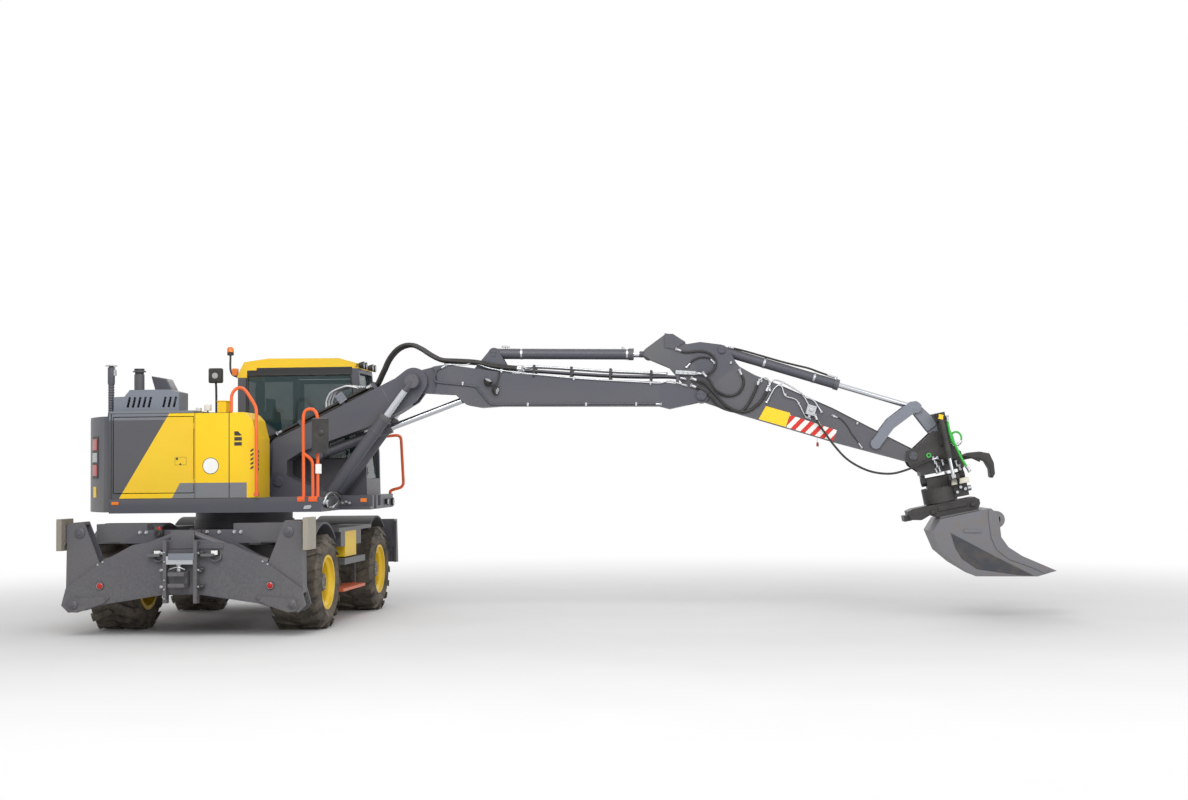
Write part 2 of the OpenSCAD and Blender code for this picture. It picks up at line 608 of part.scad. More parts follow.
// Boom tower's cheek, and the lug outside each lift cylinder, both clear of the swinging barrels
tower_outline = [[150, deck_top - 1], [1130, deck_top - 1], [1110, 1535], [1070, 1552], [1030, 1545], [985, 1560],
    [620, 1715], [520, 1785], [410, 1785], [330, 1675]];
lift_lug = [[1005, deck_top - 1], [1130, deck_top - 1], [1110, 1535], [1070, 1552], [1030, 1540]];
module upper_frame() color("dimgray") whole() {
    // Deck with its sills and the slewing ring above the chassis
    difference() {
        union() {
            flat_plate([[-1238, -dw2], [1235, -dw2], [1235, -cab_right + 90], [1610, -300], [1610, 300],
                [1600, dw2 - 20], [-1238, dw2]], deck_low, deck_top);
            translate([0, 0, ring_low + seat_gap]) cylinder(r = ring_r - 20, h = deck_low - ring_low - seat_gap + eps);
            twin_plates(tower_outline, 170, 210);
            twin_plates(lift_lug, lift_side + 45, lift_side + 65);
            cross_bar(foot_pin, boom_pin_d / 2, -215, 215);
        }
        // Room for the positioning cylinder when the boom is low
        block([1240, -ram_barrel_d / 2 - 12, 0], [far, ram_barrel_d / 2 + 12, far]);
        // Room for the lift cylinders
        mirrored_y() {
            block([lift_base[0] - 130, lift_side - 42, deck_low + 40], [far, lift_side + 42, far]);
            block([lift_base[0] + 74, lift_side - 86, deck_low + 40], [far, lift_side + 86, far]);
        }
    }
    mirrored_y() cross_bar(lift_base, boom_pin_d / 2, 200, lift_side + 60);
}
module counterweight() color("dimgray") whole() {
    intersection() {
        cylinder(r = tail_r, h = far, $fn = 120);
        side_plate([[-1238, 1345], [-far, 1345], [-far, 2600], [-1238, 2600]], -1235, 1235);
        side_plate([[-1238, 1345], [-1740, 1345], [-1800, 1420], [-1800, 2330], [-1740, 2450], [-1238, 2450]], -far, far);
    }
    translate([tail_pipe[0], tail_pipe[1], 2449]) cylinder(d = tail_pipe[2], h = tail_pipe[3] - 2449);
}
module engine() color([0.25, 0.25, 0.27]) whole() {
    block([-1150, -700, 1560], [-500, 700, 2330]);
    block([-1100, -500, deck_top], [-1000, 500, 1561]);
    block([-620, -500, deck_top], [-540, 500, 1561]);
    // Exhaust stack
    translate([stack[0], stack[1], 2330 - eps]) cylinder(d = stack[2], h = stack[3] - 2330);
    translate([stack[0], stack[1], stack[3] - 30]) cylinder(d = stack[2] + 14, h = 30);
}
// Exhaust stack and the slim tail pipe: x, y, diameter, top
stack = [-1120, -560, 105, 3040];
tail_pipe = [-1276, -1085, 56, 3040];

// Housing around the engine, open inside, with door openings on both sides and a lid on top
housing_front = -60;
cab_side_front = -190;
hood_inner = -640;
hood_front = -250;
front_box_inner = -700;
module housing() color("gold") whole() {
    difference() {
        union() {
            block([-1238, -dw2, deck_top], [cab_side_front, dw2, panel_top]);
            block([cab_side_front - 1, -dw2, deck_top], [housing_front, cab_right - 30, panel_top]);
            // Right front box with its sloping shoulder
            side_plate([[housing_front - 1, deck_top], [491, deck_top], [491, 2172], [438, 2390], [382, 2450],
                [340, panel_top], [housing_front - 1, panel_top]], -dw2, front_box_inner);
        }
        block([-1238 + panel_t, -dw2 + panel_t, deck_top - 1], [cab_side_front - panel_t, dw2 - panel_t, panel_top - 30]);
        block([cab_side_front - panel_t - 1, -dw2 + panel_t, deck_top - 1],
            [housing_front - panel_t, cab_right - 30 - panel_t, panel_top - 30]);
        side_plate([[housing_front, deck_top - 1], [451, deck_top - 1], [451, 2158], [402, 2365], [358, 2412],
            [housing_front, 2440]], -dw2 + panel_t, front_box_inner - panel_t);
        // Openings of the right door, the left door, the hood and the stack
        block([right_door_x[0], -far, door_low], [right_door_x[1], 0, door_high]);
        block([left_door_x[0], 0, door_low], [left_door_x[1], far, door_high]);
        block([-1200, -dw2 + panel_t, panel_top - 31], [hood_front - 40, hood_inner - 40, far]);
        translate([stack[0], stack[1], 0]) cylinder(d = stack[2] + 30, h = far);
    }
    // Hinges of the doors
    for (z = hinge_heights) {
        block([right_door_x[1] - door_gap + seat_gap, -dw2 + 8, z], [right_door_x[1] + 5, -dw2 + 32, z + 60]);
        block([left_door_x[1] - door_gap + seat_gap, dw2 - 32, z], [left_door_x[1] + 5, dw2 - 8, z + 60]);
    }
}
hinge_heights = [1660, 2300];
// Door openings: the span of x and of z of each
right_door_x = [-1190, -242];
left_door_x = [-1190, -252];
door_low = 1557;
door_high = 2443;
module right_door() color("gold") whole()
    block([right_door_x[0] + door_gap, -dw2, door_low + door_gap],
        [right_door_x[1] - door_gap, -dw2 + panel_t, door_high - door_gap]);
module left_door() color("gold") whole()
    block([left_door_x[0] + door_gap, dw2 - panel_t, door_low + door_gap],
        [left_door_x[1] - door_gap, dw2, door_high - door_gap]);

// Hood lid with the louvred cowl on it
cowl_outline = [[-1214, 2505], [-1214, 2675], [-1087, 2680], [-1024, 2757], [-568, 2756], [-446, 2724],
    [-446, 2505]];
cowl_inner = -830;
// Cowl slots: x of the first, count
cowl_slots = [[-1040, 5], [-620, 3]];
module hood_lid() color("slategray") whole() difference() {
    union() {
        block([-1236, -dw2 + 10, panel_top + seat_gap], [hood_front, hood_inner, panel_top + 28]);
        side_plate(cowl_outline, -1180, cowl_inner);
    }
    block([-1175, -1140, 0], [-500, cowl_inner - 40, 2640]);
    // Slanted slots in the cowl, in two groups
    for (g = cowl_slots) for (i = [0 : g[1] - 1]) translate([g[0] + i * 62, -1190, 2600])
        rotate([0, 14, 0]) block([-14, 0, -50], [14, 60, 75]);
}

// Handrails
rail_r = 19;
module rails() color("orangered") whole() {
    // Rail at the housing's front corner, with its lower foot on the side panel
    bent_tube([[174, -1200, panel_top], [174, -1200, 2700], [247, -1200, 2771], [329, -1200, 2753],
        [468, -1200, 2534], [491, -1300, 2300], [491, -1300, 1540]], rail_r);
    block([465, -1325, 1520], [517, -dw2, 1560]);
    // Gate rail beside the boom
    bent_tube([[1000, -1150, deck_top], [1000, -1150, 2463], [1046, -1150, 2511], [1120, -1150, 2511],
        [1166, -1150, 2440], [1166, -1150, deck_top]], rail_r);
    bent_tube([[1108, -1150, deck_top], [1108, -1150, 1914], [1052, -1150, 1964], [1000, -1150, 1999]], rail_r);
    // Rail at the cab's front corner, square to the cab's sloping front
    bent_tube([[1570, 1228, deck_top], [1570, 1228, 1545], [1745, 1228, 1584], [1712, 1228, 2257],
        [1412.2, 1228, 2230]], rail_r, side = [0, 1, 0]);
}
// Right mirror on the gate rail
module mirrors() color([0.1, 0.1, 0.1]) whole()
    block([1118, -1240, 2000], [1297, -1150 - rail_r * cos(18) - seat_gap, 2398]);

// Cab
cab_left = cab_right + cab_w;
cab_outline = [[-180, deck_top], [-180, 2960], [-120, 3080], [1335, 3080], [1430, 2030], [1440, deck_top]];
cab_inside = [[-125, deck_top + 40], [-125, 2930], [-90, 3030], [1285, 3030], [1372, 2020], [1385, deck_top + 40]];
// Side window outline and the door opening in the left wall
side_window = [[-58, 2560], [-58, 2999], [1240, 2999], [1262, 2842], [1330, 2030], [1290, 1950], [560, 1950],
    [300, 2300]];
rear_side_window = [[-70, 2200], [-70, 2960], [310, 2960], [310, 2200]];
door_outline = [[380, 1560], [380, 2990], [1245, 2990], [1268, 2830], [1345, 2030], [1350, 1560]];
module cab_shell() color([0.2, 0.2, 0.22]) whole() {
    difference() {
        side_plate(cab_outline, cab_right, cab_left);
        side_plate(cab_inside, cab_right + cab_wall, cab_left - cab_wall);
        side_plate(side_window, cab_right - 1, cab_right + cab_wall + 1);
        side_plate(door_outline, cab_left - cab_wall - 1, cab_left + 1);
        // Rear side window on the left, windscreen, rear window and roof hatch
        side_plate(rear_side_window, cab_left - cab_wall - 1, cab_left + 1);
        block([1200, cab_right + cab_wall, 1700], [far, cab_left - cab_wall, 3020]);
        block([-far, cab_right + cab_wall, 2200], [0, cab_left - cab_wall, 2950]);
        block([300, cab_right + 150, 3000], [1100, cab_left - 150, far]);
    }
    for (z = [1700, 2250, 2800]) block([375, cab_left - 40, z], [388 - seat_gap, cab_left - 12, z + 60]);
    // Roof panel
    difference() {
        color("gold") side_plate([[-189, 2972], [-159, 3051], [-99, 3163], [200, roof_top], [1096, roof_top - 6],
            [1319, 3134], [1289, 3070], [5, 3049], [-64, 3006], [-70, 2972]], cab_right - 5, cab_left + 5);
        block([330, cab_right + 180, 0], [1070, cab_left - 180, 3140]);
        side_plate(cab_inside, cab_right + cab_wall, cab_left - cab_wall);
    }
}
module cab_glass() color([0.5, 0.7, 0.75, 0.4]) whole() {
    gy = cab_right + 20;
    side_plate(side_window, gy, gy + glass_t);
    side_plate(rear_side_window, cab_left - 26, cab_left - 26 + glass_t);
    side_plate([[1292, 3018], [1298, 3018], [1412, 1702], [1406, 1702]], cab_right + cab_wall, cab_left - cab_wall);
    block([-160, cab_right + cab_wall, 2200], [-160 + glass_t, cab_left - cab_wall, 2950]);
}
module operator_station() color([0.15, 0.15, 0.16]) whole() {
    mid = (cab_right + cab_left) / 2;
    // Seat base, cushion, backrest and headrest
    block([250, mid - 180, deck_top + 40], [650, mid + 180, 1830]);
    block([200, mid - 250, 1830], [700, mid + 250, 1960]);
    side_plate([[110, 1900], [260, 1900], [180, 2560], [70, 2560]], mid - 240, mid + 240);
    side_plate([[90, 2559], [160, 2559], [150, 2720], [90, 2720]], mid - 130, mid + 130);
    // Side consoles, steering column and monitor
    for (s = [-1, 1]) block([280, mid + s * 310 - 50, 1900], [800, mid + s * 310 + 50, 2060]);
    for (s = [-1, 1]) block([400, mid + s * 280 - 80, 1840], [600, mid + s * 280 + 80, 1900]);
    side_plate([[1150, deck_top + 40], [1250, deck_top + 40], [1205, 2168], [1145, 2160]], mid - 50, mid + 50);
    translate([1168, mid, 2170]) rotate([0, -25, 0]) cylinder(r = 165, h = 30, center = true);
}
module cab_door() color([0.2, 0.2, 0.22]) whole() difference() {
    side_plate([[388, 1568], [388, 2982], [1238, 2982], [1260, 2830], [1336, 2030], [1341, 1568]],
        cab_left - cab_wall, cab_left);
    side_plate([[450, 1640], [450, 2925], [1190, 2925], [1205, 2815], [1275, 2020], [1278, 1640]],
        cab_left - cab_wall - 1, cab_left + 1);
}
module cab_door_glass() color([0.5, 0.7, 0.75, 0.4]) whole()
    side_plate([[450, 1640], [450, 2925], [1190, 2925], [1205, 2815], [1275, 2020], [1278, 1640]],
        cab_left - 30, cab_left - 30 + glass_t);

// Boom base: foot, box and a fork at the knee
knee_r = 168;
boom_main_tongue_w = 190;
tongue_room = boom_main_tongue_w / 2 + move_gap;
module boom_base() color("dimgray") on_boom_base() {
    w = boom_base_w / 2;
    difference() {
        union() {
            side_plate([[-95, 40], [234, 446], [1871, 165], [2027, knee_r], [2130, 130], [2180, 0], [2100, -150],
                [2016, -174], [1904, -210], [1648, -190], [1237, -105], [867, 7], [411, 136], [224, 150], [110, 0],
                [0, -110], [-100, -40]], -w, w);
            cross_bar([0, 0], 110, -w, w);
            cross_bar([boom_base_length, 0], knee_r, -w, w);
            // Bosses that carry the lift cylinder eyes
            mirrored_y() cross_bar([boom_base_length, 0], 95, w - eps, w + 45);
            // Lug of the positioning cylinder
            twin_plates([[430, 140], [500, -30], [530, -60], [590, -60], [620, -30], [760, 60]], 60, 85);
        }
        // Slot for the main boom's tongue
        cross_bar([boom_base_length, 0], 200, -tongue_room, tongue_room);
        block([boom_base_length, -tongue_room, -far], [far, tongue_room, far]);
        // and open below it, where the main boom folds down
        block([boom_base_length - 190, -tongue_room, -far], [far, tongue_room, 0]);
        cross_bar([0, 0], boom_pin_d / 2 + pin_gap, -far, far);
    }
    cross_bar([boom_base_length, 0], boom_pin_d / 2, -w - 40, w + 40);
    cross_bar([560, -11], link_pin_d / 2, -86, 86);
}

// Lift cylinders, one on each side of the boom base
lift_cyl_angle = angle_of(knee_pin - lift_base);
lift_cyl_length = norm(knee_pin - lift_base);
module lift_barrels() color("dimgray") for (s = [-1, 1]) side_at(lift_base, lift_cyl_angle, s * lift_side)
    barrel(lift_cyl_length - 524, lift_barrel_d / 2, lift_rod_d / 2, 74, 80, boom_pin_d / 2);
module lift_rods() color("silver") for (s = [-1, 1]) side_at(knee_pin, lift_cyl_angle, s * lift_side)
    rod(lift_cyl_length - 474, lift_rod_d / 2, 74, 85);

// Main boom: tongue at the knee, belly lug and a fork at the elbow
elbow_r = 92;
arm_lug_side = ram_barrel_d / 2 + move_gap;
module boom_main() color("dimgray") on_boom_main() {
    w = boom_main_w / 2;
    inner = arm_w / 2 + move_gap;
    difference() {
        union() {
            side_plate([[-60, 110], [20, 128], [253, 200], [392, 226], [1038, 166], [1775, 132], [2955, 135],
                [3083, 130], [boom_main_length + 20, elbow_r], [boom_main_length - 39, -88], [3098, -179], [2969, -153],
                [1066, -244], [821, -272], [659, -251], [512, -130], [130, -132], [0, -130], [-100, -70], [-130, 20]], -w, w);
            cross_bar([0, 0], 130, -w, w);
            cross_bar([boom_main_length, 0], elbow_r, -w, w);
            // Lug of the arm cylinder
            twin_plates([[720, 190], [900, 430], [946, 450], [1000, 430], [1180, 150]], arm_lug_side, arm_lug_side + 25);
        }
        // Cheeks cut back beside the tongue
        mirrored_y() cross_bar([0, 0], 290, boom_main_tongue_w / 2, far);
        cross_bar([0, 0], boom_pin_d / 2 + pin_gap, -far, far);
        // Slot of the fork, and the recess of the positioning rod's eye
        cross_bar([boom_main_length, 0], elbow_r + 30, -inner, inner);
        side_plate([[boom_main_length - 300, 300], [boom_main_length - 270, 130], [boom_main_length - 107, -30],
            [boom_main_length - 225, -220], [far, -220], [far, 300]], -inner, inner);
        cross_bar([684, -150], 120, -55, 55);
        block([300, -55, -far], [700, 55, -85]);
        block([600, -55, -far], [804, 55, -150]);
    }
    cross_bar([boom_main_length, 0], boom_pin_d / 2, -w - 25, w + 25);
    cross_bar([946, 390], link_pin_d / 2, -arm_lug_side - 26, arm_lug_side + 26);
}

// Cylinders in the boom's middle plane
ram_eye_w = 90;
adjust_angle = angle_of(adjust_eye - adjust_base);
adjust_length = norm(adjust_eye - adjust_base);
module adjust_barrel() color("dimgray") side_at(adjust_base, adjust_angle)
    barrel(adjust_length - 1035, ram_barrel_d / 2 - 6, ram_rod_d / 2, ram_eye_w, 62, link_pin_d / 2);
module adjust_rod() color("silver") side_at(adjust_eye, adjust_angle)
    rod(adjust_length - 705, ram_rod_d / 2, ram_eye_w, 70);
arm_cyl_angle = angle_of(arm_cyl_eye - arm_cyl_base);
arm_cyl_length = norm(arm_cyl_eye - arm_cyl_base);
module arm_barrel() color("dimgray") side_at(arm_cyl_base, arm_cyl_angle)
    barrel(arm_cyl_length - 186, ram_barrel_d / 2, ram_rod_d / 2, 110, 70, link_pin_d / 2);
module arm_rod() color("silver") side_at(arm_cyl_eye, arm_cyl_angle)
    rod(arm_cyl_length - 160, ram_rod_d / 2, ram_eye_w, 75);
bucket_cyl_angle = angle_of(rocker_top - bucket_cyl_base);
bucket_cyl_length = norm(rocker_top - bucket_cyl_base);
module bucket_barrel() color("dimgray") side_at(bucket_cyl_base, bucket_cyl_angle)
    barrel(bucket_cyl_length - 936, ram_barrel_d / 2 - 6, ram_rod_d / 2 - 6, ram_eye_w, 66, link_pin_d / 2);
module bucket_rod() color("silver") side_at(rocker_top, bucket_cyl_angle)
    rod(bucket_cyl_length - 405, ram_rod_d / 2 - 6, 76, 62);

// Arm: rear lugs for the two cylinders, box and nose
module arm() color("dimgray") on_arm() {
    w = arm_w / 2;
    difference() {
        union() {
            side_plate([[-461, 212], [-362, 540], [-193, 560], [67, 560], [211, 540], [344, 455], [542, 409],
                [858, 376], [1536, 284], [2290, 133], [arm_length - 16, 76], [arm_length + 62, 16],
                [arm_length - 32, -82], [1688, -100], [522, -92], [60, -70], [-80, -40]], -w, w);
            cross_bar([0, 0], 90, -w, w);
            cross_bar([arm_length, 0], 80, -w, w);
            // Cheeks of the arm cylinder's eye and of the bucket cylinder's base
            twin_plates([[-800, 270], [-800, 350], [-615, 591], [-532, 614], [-362, 562], [-300, 300], [-461, 212],
                [-700, 240]], 60, w);
            twin_plates([[-362, 530], [-193, 610], [67, 650], [152, 621], [211, 571], [340, 440]], 66, w);
        }
        cross_bar([0, 0], boom_pin_d / 2 + pin_gap, -far, far);
        cross_bar([arm_length - 459, 18], link_pin_d / 2 + pin_gap, -far, far);
        cross_bar([arm_length, 0], link_pin_d / 2 + pin_gap, -far, far);
        cross_bar([83, 588], 75, -66, 66);
        block([83, -66, 490], [far, 66, far]);
        // Room between the rear cheeks for the swinging arm cylinder
        block([-far, -ram_eye_w / 2 - move_gap, -far], [-335, ram_eye_w / 2 + move_gap, far]);
    }
    cross_bar([83, 588], link_pin_d / 2, -w - 10, w + 10);
}

// Rocker and link between the bucket cylinder and the tiltrotator
module rocker() color("dimgray") on_arm() translate([arm_length - 459, 0, 18]) {
    inner = arm_w / 2 + move_gap;
    reach = [332, 547];
    for (s = [-1, 1]) {
        side_plate([[-60, 10], [0, -65], [60, -10], [150, 230], [330, 470], [400, 520], [390, 590], [320, 620],
            [250, 590], [60, 330]], s > 0 ? inner : -inner - 28, s > 0 ? inner + 28 : -inner);
        cross_bar([0, 0], 62, s > 0 ? inner : -inner - 28, s > 0 ? inner + 28 : -inner);
        cross_bar(reach, 66, s > 0 ? inner : -inner - 28, s > 0 ? inner + 28 : -inner);
    }
    cross_bar([0, 0], link_pin_d / 2, -inner - 30, inner + 30);
    for (s = [-1, 1]) cross_bar(reach, link_pin_d / 2, s > 0 ? 44 : -inner - 30, s > 0 ? inner + 30 : -44);
}
link_angle = angle_of(link_eye - rocker_top);
link_length = norm(link_eye - rocker_top);
module link() color("dimgray") side_at(rocker_top, link_angle) difference() {
    union() {
        twin_plates([[0, -55], [link_length, -50], [link_length, 50], [200, 90], [0, 55]], 50, 100);
        mirrored_y() cross_bar([0, 0], 58, 50, 100);
        cross_bar([link_length, 0], 52, -75, 75);
        block([180, -60, -40], [link_length, 60, 45]);
    }
    cross_bar([0, 0], link_pin_d / 2 + pin_gap, -far, far);
    for (s = [-1, 1]) block([link_length - 120, s > 0 ? 76 : -far, -far], [far, s > 0 ? far : -76, far]);
}

// Tiltrotator: coupler, tilt cylinders that hang from its posts, rotor housing, quick hitch
tilt_axis_z = -330;
tilt_side = 260;
tilt_x = 395;
tilt_top = 400;
tilt_barrel_r = 38;
tilt_barrel_length = 510;
tilt_rod_r = 22;
tilt_rod_length = 495;
shaft_r = 40;
shaft_x = [45, 505];
module coupler() color([0.12, 0.12, 0.13]) on_tool() {
    inner = arm_w / 2 + move_gap;
    outer = inner + 30;
    difference() {
        union() {
            // Cheeks that hold the arm's end pin and the link's pin
            twin_plates([[-85, -30], [-60, 70], [40, 90], [280, 240], [380, 230], [430, 100], [560, -60], [560, -150],
                [500, -130], [300, -130], [240, -200], [60, -230], [-60, -110]], inner, outer);
            block([40, -outer, -250], [300, outer, -129]);
            block([299, -inner + 5, -250], [501, inner - 5, -129]);
            block([500, -outer, -250], [560, outer, -129]);
            mirrored_y() block([300, inner - 6, -150], [500, inner + 1, -129]);
            // Fork ends of the tilt shaft
            for (x = shaft_x) {
                block([x, -58, tilt_axis_z], [x + 50, 58, -249]);
                bar([x, 0, tilt_axis_z], [x + 50, 0, tilt_axis_z], 58);
            }
            // Posts of the tilt cylinders
            twin_plates([[330, 60], [470, 60], [450, tilt_top + 40], [350, tilt_top + 40]], outer + 5, outer + 30);
            twin_plates([[330, 60], [430, 60], [430, 140], [330, 140]], outer - 1, outer + 6);
        }
        bar([0, 0, tilt_axis_z], [far, 0, tilt_axis_z], shaft_r + pin_gap);
    }
    cross_bar([0, 0], link_pin_d / 2, -inner - 35, inner + 35);
    mirrored_y() cross_bar([333, 171], link_pin_d / 2, 82, inner + 35);
    // Heads of the posts, bolted to the cylinders
    mirrored_y() block([tilt_x - 60, outer + 29, tilt_top - 60], [tilt_x + 60, tilt_side - tilt_barrel_r, tilt_top + 40]);
}
module tilt_barrel() color([0.12, 0.12, 0.13]) translate([tilt_x, tilt_side, tilt_top]) difference() {
    union() {
        translate([0, 0, -tilt_barrel_length]) cylinder(r = tilt_barrel_r, h = tilt_barrel_length + 30);
        block([-50, -tilt_barrel_r, -50], [50, 0, 30]);
    }
    translate([0, 0, -tilt_barrel_length - 1]) cylinder(r = tilt_rod_r + gland_gap, h = tilt_barrel_length - 59);
}
module tilt_barrels() on_tool() mirrored_y() tilt_barrel();
module tilt_rod() color("silver") translate([tilt_x, tilt_side, tilt_axis_z]) {
    cylinder(r = tilt_rod_r, h = tilt_rod_length);
    translate([-25, 0, 0]) rotate([0, 90, 0]) cylinder(r = 34, h = 50);
}
module tilt_rod_left() on_tool() tilt_rod();
module tilt_rod_right() on_tool() mirror([0, 1, 0]) tilt_rod();
rotor_low = -600;
module rotor() color([0.15, 0.15, 0.16]) on_tool() {
    // Tilt shaft and saddle
    bar([shaft_x[0] - 5, 0, tilt_axis_z], [shaft_x[1] + 60, 0, tilt_axis_z], shaft_r);
    block([shaft_x[0] + 55, -75, -430], [shaft_x[1] - 5, 75, tilt_axis_z + 30]);
    // Gear housing with the worm drive and valve block
    translate([rotor_ahead, 0, rotor_low + seat_gap]) cylinder(d = rotor_d, h = 175);
    block([rotor_ahead + 120, -110, rotor_low + 20], [rotor_ahead + 330, 110, -429]);
    // Ears of the tilt cylinder rods
    mirrored_y() for (x = [tilt_x - 60, tilt_x + 35])
        end_plate([[70, -430], [70, -380], [222, -300], [295, -300], [295, -360], [200, -430]], x, x + 25);
}
module quick_hitch() color([0.12, 0.12, 0.13]) on_tool() {
    w = hitch_w / 2;
    difference() {
        side_plate([[-200, -630], [-130, -612], [600, -612], [650, -650], [650, -700], [610, -766], [120, -766],
            [60, -720], [-60, -762], [-190, -735]], -w, w);
        block([150, -w + 60, -800], [560, w - 60, -700]);
    }
    translate([rotor_ahead, 0, -613]) cylinder(r = 170, h = rotor_low + 613);
}

// Bucket: curved shell, two side plates and the lifting tube
eye_centre = [753, -909];
side_outline = [[126, -780], [723, -772], [790, -860], [768, -1117], [824, -1248], [960, -1381], bucket_lip,
    [1083, -1647], [868, -1604], [393, -1510], [204, -1338], [61, -1158], [9, -905]];
inside_outline = [[150, -800], [700, -795], [760, -1000], [850, -1290], [1290, -1612],
    [1083, -1622], [870, -1579], [405, -1488], [222, -1324], [85, -1148], [35, -915]];
module bucket() color("dimgray") on_tool() {
    w = bucket_w / 2;
    difference() {
        union() {
            side_plate(side_outline, -w, w);
            cross_bar(eye_centre, eye_r, -w, w);
            // Hitch pins' ears on top
            side_plate([[140, -790], [160, -766], [600, -766], [640, -790]], -hitch_w / 2, hitch_w / 2);
        }
        side_plate(inside_outline, -w + bucket_t, w - bucket_t);
        difference() {
            side_plate([[700, -1020], [760, -1000], [far, -1000], [far, -1600], [1290, -1600], [850, -1290]],
                -w + bucket_t, w - bucket_t);
            cross_bar(eye_centre, eye_r, -far, far);
        }
        cross_bar(eye_centre, eye_bore_r, -far, far);
    }
}

chassis_frame();
axles();
rear_beam();
tow_hitch();
side_lockers();
mudguards();
knuckle_left();
knuckle_right();
tyre_front_left();
tyre_front_right();
tyre_rear_left();
tyre_rear_right();
rim_front_left();
rim_front_right();
rim_rear_left();
rim_rear_right();
blade_arms();
blade();
blade_barrels();
blade_rods();
leg_left();
leg_right();
leg_barrel_left();
leg_barrel_right();
leg_rod_left();
leg_rod_right();
upper_frame();
counterweight();
engine();
housing();
rails();
mirrors();
cab_shell();
cab_glass();
operator_station();
cab_door();
cab_door_glass();
hood_lid();
right_door();
left_door();
boom_base();
lift_barrels();
lift_rods();
boom_main();
adjust_barrel();
adjust_rod();
arm();
arm_barrel();
arm_rod();
bucket_barrel();
bucket_rod();
rocker();
link();
coupler();
tilt_barrels();
tilt_rod_left();
tilt_rod_right();
rotor();
quick_hitch();
bucket();
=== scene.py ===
"""Looks of a wheeled excavator with a two-piece boom, tiltrotator, front blade and rear outriggers."""
import logging
import math
from dataclasses import dataclass, field
from enum import Enum
from functools import partial
from typing import Any, Callable, Sequence

import bmesh
import bpy
from mathutils import Matrix, Vector


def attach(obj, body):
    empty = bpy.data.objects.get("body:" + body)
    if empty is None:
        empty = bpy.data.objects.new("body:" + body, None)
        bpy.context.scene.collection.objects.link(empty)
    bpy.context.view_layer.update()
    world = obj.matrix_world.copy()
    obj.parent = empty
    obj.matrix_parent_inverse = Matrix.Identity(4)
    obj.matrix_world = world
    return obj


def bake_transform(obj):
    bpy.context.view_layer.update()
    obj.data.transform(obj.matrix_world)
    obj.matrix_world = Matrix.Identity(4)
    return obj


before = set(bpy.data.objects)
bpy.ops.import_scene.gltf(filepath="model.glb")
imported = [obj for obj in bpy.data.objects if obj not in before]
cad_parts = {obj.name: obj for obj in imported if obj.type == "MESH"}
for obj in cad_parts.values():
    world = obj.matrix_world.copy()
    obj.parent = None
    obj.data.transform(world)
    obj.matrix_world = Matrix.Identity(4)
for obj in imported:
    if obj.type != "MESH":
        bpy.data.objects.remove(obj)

LOG = logging.getLogger("excavator")
MM = 0.001
IMAGE_WIDTH = 1188
SENSOR_WIDTH = 36.0
Flat = tuple[float, float]
Point = tuple[float, float, float]
Axes = Callable[[float, float, float], Vector]
Tree = bpy.types.NodeTree
Node = bpy.types.Node
Socket = bpy.types.NodeSocket

# Edges sharper than these angles in degrees get a bevel on a piece, and a crease on a node
BEVEL_ABOVE = 50.0
CREASE_ABOVE = 35.0
# A line's end fitting in millimetres: the ferrule's reach past and along the line, its wall, and the nut
FERRULE = (12.0, 45.0)
FERRULE_WALL = 3.5
NUT_BACK = 30.0
NUT_RIM = 12.0
NUT_LENGTH = 20.0
# Colours that several finishes share
YELLOW = "#f5c900"
ORANGE = "#ee6527"
DEEP_GREY = "#4b4c55"
GASKET_BLACK = "#141518"
DRY_DUST = "#8c8272"
BARE_EDGE = "#77736c"


def linear(colour: str) -> tuple[float, float, float, float]:
    """Turns an sRGB hex colour into linear red, green, blue and alpha.

    Args:
        colour: Six hex digits after a hash sign.

    Returns:
        Four linear values, the last of them 1.
    """
    parts = [int(colour[i:i + 2], 16) / 255 for i in (1, 3, 5)]
    return tuple(c / 12.92 if c <= 0.04045 else ((c + 0.055) / 1.055) ** 2.4 for c in parts) + (1.0,)


def add_node(tree: Tree, kind: str, values: dict[Any, Any] | None = None) -> Node:
    """Adds a shader node and sets or joins its inputs.

    Args:
        tree: The node tree that takes the node.
        kind: The node's type, without ShaderNode in front.
        values: Properties by attribute name, and plain values or output sockets by input name or index.

    Returns:
        The new node.
    """
    node = tree.nodes.new("ShaderNode" + kind)
    inputs: dict[Any, Any] = {}
    for key, value in (values or {}).items():
        if isinstance(key, str) and hasattr(node, key) and not isinstance(value, Socket):
            setattr(node, key, value)
        else:
            inputs[key] = value
    for key, value in inputs.items():
        if isinstance(value, Socket):
            tree.links.new(value, node.inputs[key])
        else:
            node.inputs[key].default_value = value
    return node


class Place(Enum):
    """Names of the bodies that looks pieces ride on."""

    CHASSIS = "chassis"
    UPPER = "upper"
    BASE = "boom_base_body"
    MAIN = "boom_main_body"
    ARM = "arm_body"
    ARM_BARREL = "arm_barrel_body"
    BUCKET_BARREL = "bucket_barrel_body"
    LIFT = "lift_barrels_body"
    COUPLER = "coupler_body"
    ROTOR = "rotor_body"
    TOOL = "tool"
    LEFT_LEG = "leg_left_body"
    RIGHT_LEG = "leg_right_body"
    RIGHT_DOOR = "right_door_body"
    LEFT_DOOR = "left_door_body"
    CAB_DOOR = "cab_door_body"


